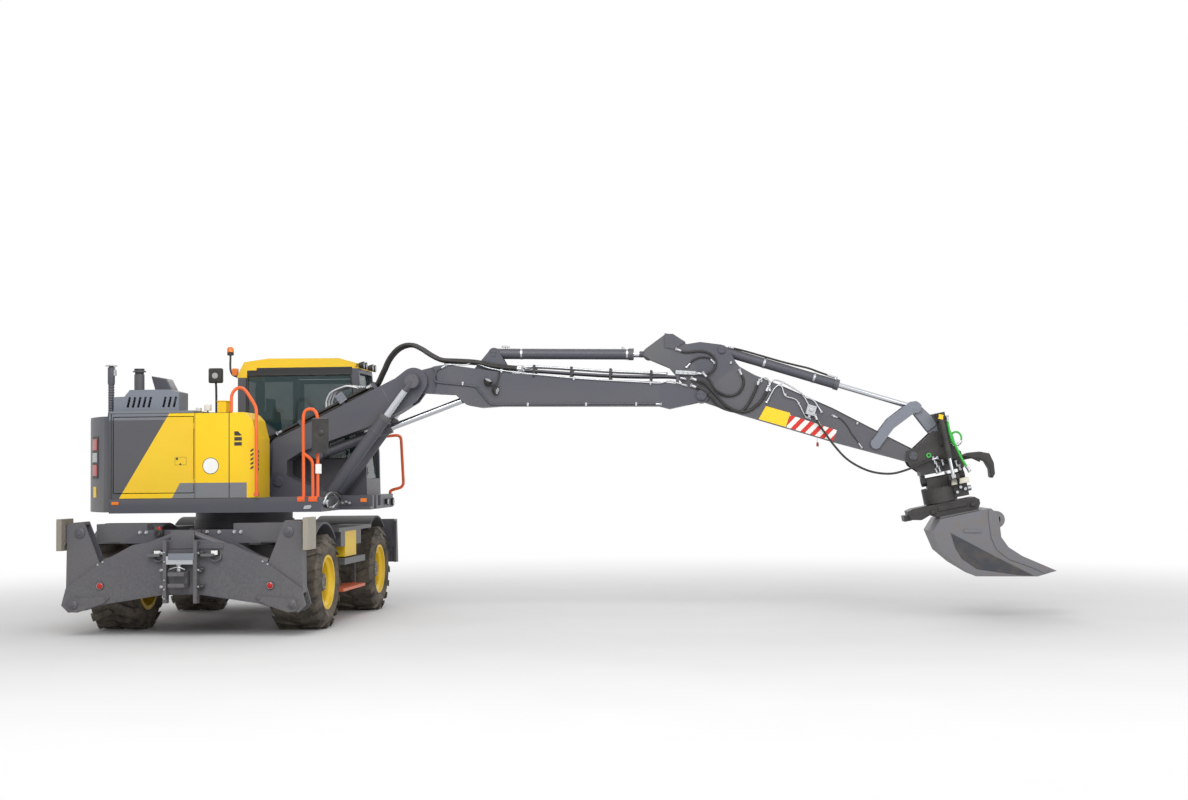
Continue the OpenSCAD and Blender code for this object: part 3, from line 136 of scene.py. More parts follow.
@dataclass(frozen=True)
class Layout:
    """Sizes of the machine that place the looks pieces, in millimetres and degrees."""

    slew: float = 87.7
    foot: Flat = (472.0, 1675.0)
    base_angle: float = 36.0
    base_length: float = 2027.0
    main_angle: float = -3.4
    main_length: float = 3473.0
    arm_angle: float = -16.8
    arm_length: float = 2605.0
    tool_angle: float = 10.8
    lip: Flat = (1313.0, -1625.0)
    tail: float = 1800.0
    row_side: float = 175.0

    @staticmethod
    def seen(base: Flat, angle: float, point: Flat) -> Flat:
        """Gives a point of a turned link in the machine's side plane.

        Args:
            base: The link's pin.
            angle: How far the link is turned, in degrees.
            point: The point in the link's own plane.

        Returns:
            The point in the machine's side plane.
        """
        a = math.radians(angle)
        return (base[0] + point[0] * math.cos(a) - point[1] * math.sin(a),
                base[1] + point[0] * math.sin(a) + point[1] * math.cos(a))

    @property
    def knee(self) -> Flat:
        """The pin between the boom base and the main boom."""
        return self.seen(self.foot, self.base_angle, (self.base_length, 0.0))

    @property
    def elbow(self) -> Flat:
        """The pin between the main boom and the arm."""
        return self.seen(self.knee, self.main_angle, (self.main_length, 0.0))

    @property
    def wrist(self) -> Flat:
        """The pin between the arm and the tiltrotator."""
        return self.seen(self.elbow, self.arm_angle, (self.arm_length, 0.0))

    @property
    def origin(self) -> Flat:
        """Where the row's origin lies from the slewing axis."""
        lip = self.seen(self.wrist, self.tool_angle, self.lip)
        return ((lip[0] - self.tail) / 2, self.row_side)

    def upper(self, x: float, y: float, z: float) -> Vector:
        """Turns machine millimetres into metres of the row frame."""
        return Vector(((x - self.origin[0]) * MM, (y - self.origin[1]) * MM, z * MM))

    def under(self, u: float, v: float, z: float) -> Vector:
        """Turns undercarriage millimetres (forward, left, up) into metres of the row frame."""
        a = math.radians(self.slew)
        return self.upper(u * math.cos(a) - v * math.sin(a), u * math.sin(a) + v * math.cos(a), z)

    def line(self, start: Flat, angle: float, x: float, y: float, z: float) -> Vector:
        """Turns millimetres along a line of the side plane into metres of the row frame.

        Args:
            start: Where the line starts.
            angle: The line's slope in degrees.
            x: Distance along the line.
            y: Distance to the left.
            z: Distance above the line.

        Returns:
            The point in the row frame.
        """
        p = self.seen(start, angle, (x, z))
        return self.upper(p[0], y, p[1])


LAYOUT = Layout()
# Points in the axes of the superstructure, the undercarriage and each link of the boom
upper: Axes = LAYOUT.upper
under: Axes = LAYOUT.under
base: Axes = partial(LAYOUT.line, LAYOUT.foot, LAYOUT.base_angle)
main_boom: Axes = partial(LAYOUT.line, LAYOUT.knee, LAYOUT.main_angle)
arm: Axes = partial(LAYOUT.line, LAYOUT.elbow, LAYOUT.arm_angle)
tool: Axes = partial(LAYOUT.line, LAYOUT.wrist, LAYOUT.tool_angle)


def step(axes: Axes, x: float, y: float, z: float) -> Vector:
    """Gives a step in a set of axes as a vector of the row frame."""
    return axes(x, y, z) - axes(0, 0, 0)


def row(axes: Axes, y: float, pairs: Sequence[Flat]) -> list[Vector]:
    """Gives points of one side plane from their places along and above the axes."""
    return [axes(x, y, z) for x, z in pairs]


def circle(count: int, shift: float = 0.0) -> list[Flat]:
    """Gives cosine and sine of evenly spaced angles, shifted by a part of a step."""
    turns = [2 * math.pi * (i + shift) / count for i in range(count)]
    return [(math.cos(t), math.sin(t)) for t in turns]


AHEAD = Vector((1.0, 0.0, 0.0))
RIGHT = Vector((0.0, -1.0, 0.0))
UP = Vector((0.0, 0.0, 1.0))
BACK = step(under, -1, 0, 0).normalized()
SIDE = step(under, 0, 1, 0).normalized()


@dataclass(frozen=True)
class MachinePaint:
    """Two-pack enamel sprayed on steel plate: an even semi-gloss coat with dust, scuffs and bare edges."""

    name: str
    colour: str
    dust: float = 0.25
    roughness: float = 0.42
    wear: float = 0.3

    def tint(self, tree: Tree) -> Any:
        """Gives the coat's colour or its socket, before fading and dust."""
        return linear(self.colour)

    def shade(self, tree: Tree) -> Node:
        """Builds the paint's shader.

        Args:
            tree: The material's node tree.

        Returns:
            The shader node.
        """
        spot = add_node(tree, "TexCoord").outputs["Object"]
        # Cloudy fading about 0.4 m across, and grime streaks about 30 mm wide
        cloud = add_node(tree, "TexNoise", {"Scale": 2.6, "Detail": 6.0, "Vector": spot}).outputs["Color"]
        grime = add_node(tree, "TexNoise", {"Scale": 34.0, "Detail": 5.0, "Roughness": 0.65,
                                            "Vector": spot}).outputs["Fac"]
        faded = add_node(tree, "Mix", {"data_type": "RGBA", "blend_type": "MULTIPLY", 0: 0.16, 7: cloud,
                                       6: self.tint(tree)}).outputs[2]
        # Dust settles on faces that look up, and low on the machine
        shape = add_node(tree, "NewGeometry")
        normal = add_node(tree, "SeparateXYZ", {0: shape.outputs["Normal"]}).outputs["Z"]
        height = add_node(tree, "SeparateXYZ", {0: spot}).outputs["Z"]
        flat = add_node(tree, "MapRange", {"From Min": 0.2, "From Max": 1.0, "To Max": 0.5, "Value": normal})
        low = add_node(tree, "MapRange", {"From Min": 1.5, "From Max": 0.2, "To Max": 0.75, "Value": height})
        both = add_node(tree, "Math", {"operation": "ADD", 0: flat.outputs[0], 1: low.outputs[0]})
        patch = add_node(tree, "MapRange", {"From Min": 0.35, "From Max": 0.75, "Value": grime})
        amount = add_node(tree, "Math", {"operation": "MULTIPLY", 0: both.outputs[0], 1: patch.outputs[0]})
        film = add_node(tree, "Math", {"operation": "MULTIPLY", "use_clamp": True, 0: amount.outputs[0], 1: self.dust})
        dusty = add_node(tree, "Mix", {"data_type": "RGBA", 0: film.outputs[0], 6: faded, 7: linear(DRY_DUST)})
        # Bare steel shows on sharp edges
        edge = add_node(tree, "MapRange", {"From Min": 0.56, "From Max": 0.66, "To Max": self.wear,
                                           "Value": shape.outputs["Pointiness"]})
        worn = add_node(tree, "Mix", {"data_type": "RGBA", 0: edge.outputs[0], 6: dusty.outputs[2],
                                      7: linear(BARE_EDGE)})
        rough = add_node(tree, "MapRange", {"To Min": self.roughness - 0.08, "To Max": self.roughness + 0.2,
                                            "Value": grime})
        # Orange peel of the sprayed coat, about 4 mm from crest to crest
        peel = add_node(tree, "TexNoise", {"Scale": 240.0, "Detail": 2.0, "Vector": spot}).outputs["Fac"]
        bump = add_node(tree, "Bump", {"Strength": 0.05, "Distance": 0.002, "Height": peel})
        return add_node(tree, "BsdfPrincipled", {
            "IOR": 1.5, "Base Color": worn.outputs[2],
            "Roughness": rough.outputs[0], "Normal": bump.outputs[0]})


@dataclass(frozen=True)
class Zone:
    """A box that takes its own colour, from its low to its high corner in millimetres."""

    low: Point
    high: Point
    colour: str


@dataclass(frozen=True)
class ZonedPaint(MachinePaint):
    """Machine enamel masked off with tape: straight-edged zones, in the upper's or the undercarriage's axes."""

    zones: tuple[Zone, ...] = ()
    turned: bool = False

    def tint(self, tree: Tree) -> Any:
        """Lays each zone's colour over the ones before it.

        Args:
            tree: The material's node tree.

        Returns:
            The colour's socket.
        """
        spot = add_node(tree, "VectorMath", {"operation": "SUBTRACT", 0: add_node(tree, "TexCoord").outputs["Object"],
                                             1: tuple(upper(0, 0, 0))})
        turn = math.radians(-LAYOUT.slew) if self.turned else 0.0
        local = add_node(tree, "VectorRotate", {"rotation_type": "Z_AXIS", "Angle": turn, "Vector": spot.outputs[0]})
        axes = add_node(tree, "SeparateXYZ", {0: local.outputs[0]})
        coat: Any = linear(self.colour)
        for zone in self.zones:
            area: Any = 1.0
            for i, (low, high) in enumerate(zip(zone.low, zone.high)):
                side = add_node(tree, "Math", {"operation": "COMPARE", 0: axes.outputs[i],
                                               1: (low + high) / 2 * MM, 2: (high - low) / 2 * MM})
                area = add_node(tree, "Math", {"operation": "MULTIPLY", 0: area, 1: side.outputs[0]}).outputs[0]
            coat = add_node(tree, "Mix", {"data_type": "RGBA", 0: area, 6: coat, 7: linear(zone.colour)}).outputs[2]
        return coat


@dataclass(frozen=True)
class HubPaint(MachinePaint):
    """Wheel enamel round a hub of bare, greasy cast iron."""

    axle: Flat = (0.0, 0.0)
    hub_radius: float = 153.0
    hub: str = "#3f3c3a"

    def tint(self, tree: Tree) -> Any:
        """Masks the hub by its distance from the axle's line.

        Args:
            tree: The material's node tree.

        Returns:
            The colour's socket.
        """
        spot = add_node(tree, "VectorMath", {"operation": "SUBTRACT", 0: add_node(tree, "TexCoord").outputs["Object"],
                                             1: tuple(under(self.axle[0], 0, self.axle[1]))})
        lever = add_node(tree, "VectorMath", {"operation": "CROSS_PRODUCT", 0: spot.outputs[0], 1: tuple(SIDE)})
        away = add_node(tree, "VectorMath", {"operation": "LENGTH", 0: lever.outputs[0]})
        inside = add_node(tree, "Math", {"operation": "LESS_THAN", 0: away.outputs["Value"], 1: self.hub_radius * MM})
        return add_node(tree, "Mix", {"data_type": "RGBA", 0: inside.outputs[0], 6: linear(self.colour),
                                      7: linear(self.hub)}).outputs[2]


@dataclass(frozen=True)
class TwoTonePaint(MachinePaint):
    """The side panels' paint: dark behind a slanting line, yellow ahead of it, with a grey band at the foot and painted
    shade on the front wall beside the boom.
    """

    rear: str = "#4a4b52"
    band: str = "#77787c"
    cap: str = "#70737c"
    # Painted shade: dark grey laid on the housing's front wall beside the boom foot
    boom_foot_shade: str = "#3a3b40"
    cap_height: float = 2403.0
    band_height: float = 1676.0
    band_slope: float = 97.0 / 179.0

    @staticmethod
    def ahead(tree: Tree, spot: Node, start: Vector, slope: float) -> Socket:
        """Masks what lies ahead of a slanting line in the side view.

        Args:
            tree: The material's node tree.
            spot: The node that gives each point's place.
            start: A point of the line.
            slope: How far the line leans ahead for its height.

        Returns:
            The mask's socket.
        """
        line = add_node(tree, "Math", {"operation": "MULTIPLY_ADD", 0: spot.outputs["Z"], 1: -slope,
                                       2: slope * start.z - start.x})
        past = add_node(tree, "Math", {"operation": "ADD", 0: spot.outputs["X"], 1: line.outputs[0]})
        return add_node(tree, "Math", {"operation": "GREATER_THAN", 0: past.outputs[0], 1: 0.0}).outputs[0]

    def tint(self, tree: Tree) -> Any:
        """Masks the colours by their place on the panels.

        Args:
            tree: The material's node tree.

        Returns:
            The colour's socket.
        """
        spot = add_node(tree, "SeparateXYZ", {0: add_node(tree, "TexCoord").outputs["Object"]})
        start, top = upper(-1121, 0, 1498), upper(-552, 0, 2440)
        high = add_node(tree, "Math", {"operation": "GREATER_THAN", 0: spot.outputs["Z"], 1: self.cap_height * MM})
        dark = add_node(tree, "Mix", {"data_type": "RGBA", 0: high.outputs[0], 6: linear(self.rear),
                                      7: linear(self.cap)})
        front = self.ahead(tree, spot, start, (top.x - start.x) / (top.z - start.z))
        tone = add_node(tree, "Mix", {"data_type": "RGBA", 0: front, 6: dark.outputs[2],
                                      7: linear(self.colour)}).outputs[2]
        # The band at the foot of the side wall has a slanting rear end, and the front wall beside the boom foot is
        # painted dark grey: painted shade standing in for the shade round the boom foot
        low_wall = self.ahead(tree, spot, upper(-502, 0, 1500), self.band_slope)
        area: Any
        for colour, area, corner, ways in (
                (self.band, low_wall, upper(371, -1262, self.band_height), ("LESS_THAN", "LESS_THAN", "LESS_THAN")),
                (self.boom_foot_shade, 1.0, upper(-200, -705, 2440), ("GREATER_THAN", "GREATER_THAN", "LESS_THAN"))):
            for i, way in enumerate(ways):
                side = add_node(tree, "Math", {"operation": way, 0: spot.outputs[i], 1: corner[i]})
                area = add_node(tree, "Math", {"operation": "MULTIPLY", 0: area, 1: side.outputs[0]}).outputs[0]
            tone = add_node(tree, "Mix", {"data_type": "RGBA", 0: area, 6: tone, 7: linear(colour)}).outputs[2]
        return tone


@dataclass(frozen=True)
class BareMetal:
    """Steel or chrome with a turned, cast or worn surface: fine marks that break up its reflections."""

    name: str
    colour: str
    roughness: float
    metallic: float = 1.0
    grain: float = 120.0
    depth: float = 0.1
    soil: str = "#6d6152"
    soiled: float = 0.0

    def shade(self, tree: Tree) -> Node:
        """Builds the metal's shader.

        Args:
            tree: The material's node tree.

        Returns:
            The shader node.
        """
        spot = add_node(tree, "TexCoord").outputs["Object"]
        marks = add_node(tree, "TexNoise", {"Scale": self.grain, "Detail": 4.0, "Vector": spot}).outputs["Fac"]
        stain = add_node(tree, "TexNoise", {"Scale": 9.0, "Detail": 8.0, "Roughness": 0.7,
                                            "Vector": spot}).outputs["Fac"]
        patch = add_node(tree, "MapRange", {"From Min": 0.42, "From Max": 0.66, "To Max": self.soiled,
                                            "Value": stain}).outputs[0]
        tone = add_node(tree, "Mix", {"data_type": "RGBA", 0: patch, 6: linear(self.colour), 7: linear(self.soil)})
        bare = add_node(tree, "Math", {"operation": "MULTIPLY_ADD", 0: patch, 1: -self.metallic, 2: self.metallic})
        rough = add_node(tree, "MapRange", {"To Min": self.roughness * 0.8, "Value": stain,
                                            "To Max": min(1.0, self.roughness * 1.3 + 0.05)})
        bump = add_node(tree, "Bump", {"Strength": self.depth, "Distance": 0.002, "Height": marks})
        return add_node(tree, "BsdfPrincipled", {"Base Color": tone.outputs[2], "Roughness": rough.outputs[0],
                                                 "Metallic": bare.outputs[0], "Normal": bump.outputs[0]})


@dataclass(frozen=True)
class EyedRod:
    """A chromed rod whose forged end eye is painted: the eye ends at a set distance from its pin."""

    name: str
    rod: BareMetal
    eye: MachinePaint
    pin: Flat
    reach: float

    def shade(self, tree: Tree) -> Node:
        """Joins the chrome's and the paint's shaders at the eye's edge.

        Args:
            tree: The material's node tree.

        Returns:
            The shader node.
        """
        metal, painted = self.rod.shade(tree), self.eye.shade(tree)
        spot = add_node(tree, "VectorMath", {"operation": "SUBTRACT", 0: add_node(tree, "TexCoord").outputs["Object"],
                                             1: tuple(upper(self.pin[0], 0, self.pin[1]))})
        flat = add_node(tree, "VectorMath", {"operation": "MULTIPLY", 0: spot.outputs[0], 1: (1.0, 0.0, 1.0)})
        away = add_node(tree, "VectorMath", {"operation": "LENGTH", 0: flat.outputs[0]})
        near = add_node(tree, "Math", {"operation": "LESS_THAN", 0: away.outputs["Value"], 1: self.reach * MM})
        return add_node(tree, "MixShader", {0: near.outputs[0], 1: metal.outputs[0], 2: painted.outputs[0]})


@dataclass(frozen=True)
class Moulded:
    """Moulded rubber or plastic: a matt body colour with fine pimples and a film of dust."""

    name: str
    colour: str
    roughness: float = 0.7
    dust: float = 0.3
    dust_colour: str = "#85796a"
    grain: float = 300.0
    depth: float = 0.12

    def shade(self, tree: Tree) -> Node:
        """Builds the moulding's shader.

        Args:
            tree: The material's node tree.

        Returns:
            The shader node.
        """
        spot = add_node(tree, "TexCoord").outputs["Object"]
        blotch = add_node(tree, "TexNoise", {"Scale": 7.0, "Detail": 8.0, "Roughness": 0.7, "Vector": spot})
        film = add_node(tree, "MapRange", {"From Min": 0.3, "From Max": 0.75, "To Max": self.dust,
                                           "Value": blotch.outputs["Fac"]})
        tone = add_node(tree, "Mix", {"data_type": "RGBA", 0: film.outputs[0], 6: linear(self.colour),
                                      7: linear(self.dust_colour)})
        pimples = add_node(tree, "TexNoise", {"Scale": self.grain, "Detail": 2.0, "Vector": spot})
        bump = add_node(tree, "Bump", {"Strength": self.depth, "Distance": 0.001, "Height": pimples.outputs["Fac"]})
        return add_node(tree, "BsdfPrincipled", {"Roughness": self.roughness, "IOR": 1.5,
                                                 "Base Color": tone.outputs[2], "Normal": bump.outputs[0]})


@dataclass(frozen=True)
class Glazing:
    """Toughened float glass or a clear lens: smooth, slightly tinted, with a trace of dust."""

    name: str
    colour: str
    alpha: float = 0.3
    roughness: float = 0.04

    def shade(self, tree: Tree) -> Node:
        """Builds the glass shader.

        Args:
            tree: The material's node tree.

        Returns:
            The shader node.
        """
        haze = add_node(tree, "TexNoise", {"Scale": 3.0, "Detail": 6.0,
                                           "Vector": add_node(tree, "TexCoord").outputs["Object"]})
        veil = add_node(tree, "MapRange", {"To Min": self.alpha * 0.85, "To Max": min(1.0, self.alpha * 1.15),
                                           "Value": haze.outputs["Fac"]})
        return add_node(tree, "BsdfPrincipled", {"Base Color": linear(self.colour), "Roughness": self.roughness,
                                                 "IOR": 1.52, "Alpha": veil.outputs[0]})


@dataclass(frozen=True)
class StripedFilm:
    """Retroreflective film on a warning board: red and white bands at 45 degrees, about 50 mm wide."""

    name: str
    red: str = "#c8281f"
    white: str = "#e8e6e0"
    pitch_mm: float = 150.0

    def shade(self, tree: Tree) -> Node:
        """Builds the striped shader.

        Args:
            tree: The material's node tree.

        Returns:
            The shader node.
        """
        spot = add_node(tree, "SeparateXYZ", {0: add_node(tree, "TexCoord").outputs["Object"]}).outputs
        run = add_node(tree, "Math", {"operation": "SUBTRACT", 0: spot["X"], 1: spot["Z"]})
        turns = add_node(tree, "Math", {"operation": "DIVIDE", 0: run.outputs[0], 1: self.pitch_mm * MM})
        part = add_node(tree, "Math", {"operation": "FRACT", 0: turns.outputs[0]})
        pick = add_node(tree, "Math", {"operation": "GREATER_THAN", 0: part.outputs[0], 1: 0.5})
        tone = add_node(tree, "Mix", {"data_type": "RGBA", 0: pick.outputs[0], 6: linear(self.red),
                                      7: linear(self.white)})
        return add_node(tree, "BsdfPrincipled", {"Roughness": 0.35, "Base Color": tone.outputs[2]})


Finish = MachinePaint | BareMetal | EyedRod | Moulded | Glazing | StripedFilm

# Two-pack enamel, sprayed: deep grey steelwork that greys further with dust
DARK_ENAMEL = MachinePaint("dark_grey_enamel", DEEP_GREY, 0.45, 0.4, 0.25)
# The same enamel in the lighter grey of the cowl and linkage castings
LIGHT_ENAMEL = MachinePaint("light_grey_enamel", "#767b86", 0.3, 0.4, 0.25)
# Signal yellow enamel: the filler box
YELLOW_ENAMEL = MachinePaint("signal_yellow_enamel", YELLOW, 0.3, 0.35, 0.15)
# Orange enamel of the handrails and steps, which catches the eye as a climbing aid
ORANGE_ENAMEL = MachinePaint("rail_orange_enamel", ORANGE, 0.3, 0.38, 0.2)
# Signal yellow roof shell with the roof's tail lip, over the dark cab frame and its black gaskets
CAB_ENAMEL = ZonedPaint("dark_grey_and_yellow_enamel", DEEP_GREY, 0.3, 0.38, 0.15, (
    Zone((-62, 0, 2990), (1262, 1500, 3092), GASKET_BLACK), Zone((-80, 0, 2200), (-36, 1500, 2990), GASKET_BLACK),
    Zone((-400, 0, 3090), (1500, 1500, 3400), YELLOW), Zone((-400, 0, 3060), (60, 1500, 3100), YELLOW),
    Zone((1262, 0, 3070), (1500, 1500, 3100), YELLOW), Zone((-400, 0, 2968), (-62, 1500, 3100), YELLOW)))
# Dark steps with one yellow locker and an orange tread
LOCKER_ENAMEL = ZonedPaint("yellow_grey_and_orange_enamel", "#494a52", 0.45, 0.4, 0.25, (
    Zone((-197, -1500, 756), (351, 1500, 1076), YELLOW), Zone((-500, -1500, 300), (800, 1500, 410), ORANGE)), True)
# Black moulded guards in front, dark grey steel guards behind
GUARD_ENAMEL = ZonedPaint("black_and_grey_guard_coat", "#1b1c1e", 0.3, 0.55, 0.1, (
    Zone((-2500, -1500, 0), (0, 1500, 2000), "#4a4b53"),), True)
# Grey outrigger arms with dusty, scraped foot pads; the left pad takes a darker copy of the dust colour as painted
# shade
LEG_ENAMEL = ZonedPaint("dark_grey_enamel_with_dusty_and_shaded_pads", DEEP_GREY, 0.45, 0.4, 0.3, (
    Zone((-3000, -1500, 0), (3000, -1345, 2000), "#a39b8c"),
    # Painted shade: the left pad's dust colour is darkened because that pad stands in shadow
    Zone((-3000, 1345, 0), (3000, 1500, 2000), "#8f887c")), True)
# Yellow wheel enamel round dark, greasy hubs
FRONT_RIM = HubPaint("front_wheel_enamel", YELLOW, 0.35, 0.35, 0.15, (1503.0, 527.5))
REAR_RIM = HubPaint("rear_wheel_enamel", YELLOW, 0.35, 0.35, 0.15, (-1097.0, 527.5))
# Side doors and housing: grey behind a slanting line, yellow ahead of it
PANEL_ENAMEL = TwoTonePaint("two_tone_panel_enamel", YELLOW, 0.15, 0.33, 0.1)
# Hard chromium on ground steel: mirror-bright piston rods
HARD_CHROME = BareMetal("hard_chromed_rod", "#c9ccd1", 0.12, 1.0, 60.0, 0.02)
# The same rods with their eyes left in grey enamel
LIFT_ROD = EyedRod("chromed_lift_rod_with_painted_eye", HARD_CHROME, DARK_ENAMEL, LAYOUT.knee, 150.0)
ADJUST_ROD = EyedRod("chromed_adjusting_rod_with_painted_eye", HARD_CHROME, DARK_ENAMEL,
                     LAYOUT.seen(LAYOUT.knee, LAYOUT.main_angle, (684.0, -150.0)), 120.0)
ARM_ROD = EyedRod("chromed_arm_rod_with_painted_eye", HARD_CHROME, DARK_ENAMEL,
                  LAYOUT.seen(LAYOUT.elbow, LAYOUT.arm_angle, (-743.0, 304.0)), 120.0)
# Zinc-plated fittings: pale, slightly blotched steel
ZINC_PLATE = BareMetal("zinc_plated_fitting", "#b9bcc0", 0.32, 1.0, 150.0, 0.05, "#8d8878", 0.25)
# Worn digging steel: brown soil over scraped grey plate
DIGGING_STEEL = BareMetal("soil_worn_steel", "#6f7076", 0.45, 0.55, 90.0, 0.25, "#75654f", 0.4)
# Hardened wear plate, blackened, with soil ground into it
WEAR_STEEL = BareMetal("blackened_wear_plate", "#3d3f45", 0.5, 0.4, 90.0, 0.25, "#5c5145", 0.5)
# Sand-cast iron with black primer: pitted and dull
BLACK_CASTING = Moulded("black_primed_casting", "#1b1c1e", 0.5, 0.22, "#6f665b", 160.0, 0.25)
# Carbon-black tyre rubber, moulded: matt, with pale dust in the tread
TYRE_RUBBER = Moulded("moulded_tyre_rubber", "#2c2b2a", 0.85, 0.75, "#8b7f6f", 220.0, 0.3)
# Textured black polypropylene: lamp housings, mirrors, vents
BLACK_PLASTIC = Moulded("textured_black_plastic", "#17181a", 0.6, 0.22, "#7b7164", 260.0, 0.15)
# Extruded hydraulic hose cover: black synthetic rubber with a wrapped grain
HOSE_RUBBER = Moulded("wrapped_hose_rubber", "#141414", 0.55, 0.15, "#6f675b", 420.0, 0.2)
# The same cover in green, which marks the tiltrotator's own hoses
GREEN_RUBBER = Moulded("green_hose_cover", "#2fae3a", 0.5, 0.1, "#6f7a5b", 420.0, 0.15)
# Cream lid of the valve box, moulded in filled plastic
CREAM_COVER = Moulded("cream_valve_cover", "#d9d6c8", 0.5, 0.2, DRY_DUST, 200.0, 0.1)
# Woven seat cover over foam, dark grey
SEAT_CLOTH = Moulded("woven_seat_cloth", "#232428", 0.95, 0.1, "#4a4a4c", 900.0, 0.3)
# Tinted float glass that lets the seat show through
CAB_GLASS = Glazing("tinted_float_glass", "#2b4345", 0.55)
# Clear, red and amber lamp lenses, moulded in polycarbonate
CLEAR_LENS = Glazing("clear_lamp_lens", "#dfe4e6", 0.55, 0.08)
RED_LENS = Glazing("red_lamp_lens", "#b3160f", 0.96, 0.15)
AMBER_LENS = Glazing("amber_lamp_lens", "#ef7d12", 0.95, 0.15)
# Self-adhesive films: red and white stripes, white and yellow blanks
WARNING_FILM = StripedFilm("red_white_warning_film")
WHITE_FILM = Moulded("white_sign_film", "#e9e9e6", 0.4, 0.05)
YELLOW_FILM = Moulded("yellow_sign_film", "#f3c713", 0.4, 0.05)


def fresh_tree(owner: bpy.types.Material | bpy.types.World) -> Tree:
    """Empties the node tree of a material or world.

    Args:
        owner: The material or world.

    Returns:
        Its empty node tree.
    """
    owner.use_nodes = True
    owner.node_tree.nodes.clear()
    return owner.node_tree


class Paintshop:
    """Makes each finish's material once and puts it on pieces and nodes."""

    def __init__(self) -> None:
        """Starts with no materials."""
        self.made: dict[str, bpy.types.Material] = {}

    def coat(self, piece: bpy.types.Object, finish: Finish) -> None:
        """Gives a piece one finish all over, building its material on first use.

        Args:
            piece: The piece to coat.
            finish: The finish it takes.
        """
        if finish.name not in self.made:
            material = bpy.data.materials.new(finish.name)
            tree = fresh_tree(material)
            add_node(tree, "OutputMaterial", {"Surface": finish.shade(tree).outputs[0]})
            self.made[finish.name] = material
        piece.data.materials.clear()
        piece.data.materials.append(self.made[finish.name])


PAINTS = Paintshop()


class Form:
    """Collects the plates, bars and tubes of one piece in a mesh."""

    def __init__(self, name: str) -> None:
        """Starts an empty mesh with the piece's name."""
        self.name = name
        self.mesh = bmesh.new()

    def plate(self, corners: Sequence[Vector], depth: Vector) -> "Form":
        """Adds a flat plate.

        Args:
            corners: The outline of one face, in order.
            depth: The step from that face to the other.

        Returns:
            The form itself.
        """
        near = [self.mesh.verts.new(c) for c in corners]
        far = [self.mesh.verts.new(c + depth) for c in corners]
        faces = [self.mesh.faces.new(near), self.mesh.faces.new(list(reversed(far)))]
        for i in range(len(near)):
            j = (i + 1) % len(near)
            faces.append(self.mesh.faces.new((near[j], near[i], far[i], far[j])))
        bmesh.ops.recalc_face_normals(self.mesh, faces=faces)
        return self

    def box(self, axes: Axes, low: Point, size: Point) -> "Form":
        """Adds a box from a corner and its three sizes, which may run backwards.

        Args:
            axes: The axes that the numbers belong to.
            low: The corner.
            size: The box's length, width and height.

        Returns:
            The form itself.
        """
        corner = axes(*low)
        along, across, tall = step(axes, size[0], 0, 0), step(axes, 0, size[1], 0), step(axes, 0, 0, size[2])
        return self.plate([corner, corner + along, corner + along + across, corner + across], tall)

    def ring(self, centre: Vector, axis: Vector, radii: Sequence[Flat], sides: int = 24) -> "Form":
        """Adds a turned shape.

        Args:
            centre: Where the axis starts.
            axis: The direction of the axis.
            radii: Pairs of distance along the axis and radius in millimetres; a radius of 0 closes the shape.
            sides: How many flats it has.

        Returns:
            The form itself.
        """
        axis = axis.normalized()
        side = axis.orthogonal().normalized()
        other = axis.cross(side)
        rows: list[list[bmesh.types.BMVert]] = []
        for along, radius in ((a * MM, r * MM) for a, r in radii):
            middle = centre + axis * along
            spots = [(side * c + other * s) * radius for c, s in circle(sides)] if radius > 1e-9 else [Vector()]
            rows.append([self.mesh.verts.new(middle + spot) for spot in spots])
        faces = []
        for a, b in zip(rows, rows[1:]):
            for i in range(sides):
                j = (i + 1) % sides
                if len(a) == 1 and len(b) > 1:
                    faces.append(self.mesh.faces.new((a[0], b[i], b[j])))
                elif len(b) == 1 and len(a) > 1:
                    faces.append(self.mesh.faces.new((a[i], b[0], a[j])))
                elif len(a) > 1:
                    faces.append(self.mesh.faces.new((a[i], b[i], b[j], a[j])))
        bmesh.ops.recalc_face_normals(self.mesh, faces=faces)
        return self

    def rod(self, start: Vector, end: Vector, radius: float, sides: int = 16, chamfer: float = 0.12) -> "Form":
        """Adds a round bar with softened ends.

        Args:
            start: The middle of one end.
            end: The middle of the other.
            radius: The bar's radius in millimetres.
            sides: Flats around it.
            chamfer: The softened edge as a part of the radius.

        Returns:
            The form itself.
        """
        length = (end - start).length / MM
        c = min(radius * chamfer, length / 4)
        return self.ring(start, end - start, [(0, 0), (0, radius - c), (c, radius), (length - c, radius),
                                              (length, radius - c), (length, 0)], sides)

    def hex(self, centre: Vector, axis: Vector, across: float, height: float) -> "Form":
        """Adds a hexagon head with a chamfered crown."""
        r = across / math.sqrt(3)
        return self.ring(centre, axis, [(0, 0), (0, r), (height * 0.8, r), (height, r * 0.86), (height, 0)], 6)

    def tube(self, path: Sequence[Vector], radius: float, sides: int = 12, smooth: int = 5) -> "Form":
        """Adds a hose or pipe along a smooth curve through its points.

        Args:
            path: Points that the curve passes.
            radius: The tube's radius in millimetres.
            sides: Flats around it.
            smooth: Steps between two points.

        Returns:
            The form itself.
        """
        points = smooth_path(path, smooth)
        tangent = (points[1] - points[0]).normalized()
        side = tangent.orthogonal().normalized()
        rows = []
        for i, p in enumerate(points):
            ahead = points[min(i + 1, len(points) - 1)] - points[max(i - 1, 0)]
            if ahead.length > 1e-9:
                turn = tangent.rotation_difference(ahead.normalized())
                side = (turn @ side).normalized()
                tangent = ahead.normalized()
            other = tangent.cross(side).normalized()
            rows.append([self.mesh.verts.new(p + (side * c + other * s) * radius * MM) for c, s in circle(sides)])
        faces = [self.mesh.faces.new(list(reversed(rows[0]))), self.mesh.faces.new(rows[-1])]
        for a, b in zip(rows, rows[1:]):
            for k in range(sides):
                n = (k + 1) % sides
                faces.append(self.mesh.faces.new((a[k], b[k], b[n], a[n])))
        bmesh.ops.recalc_face_normals(self.mesh, faces=faces)
        return self

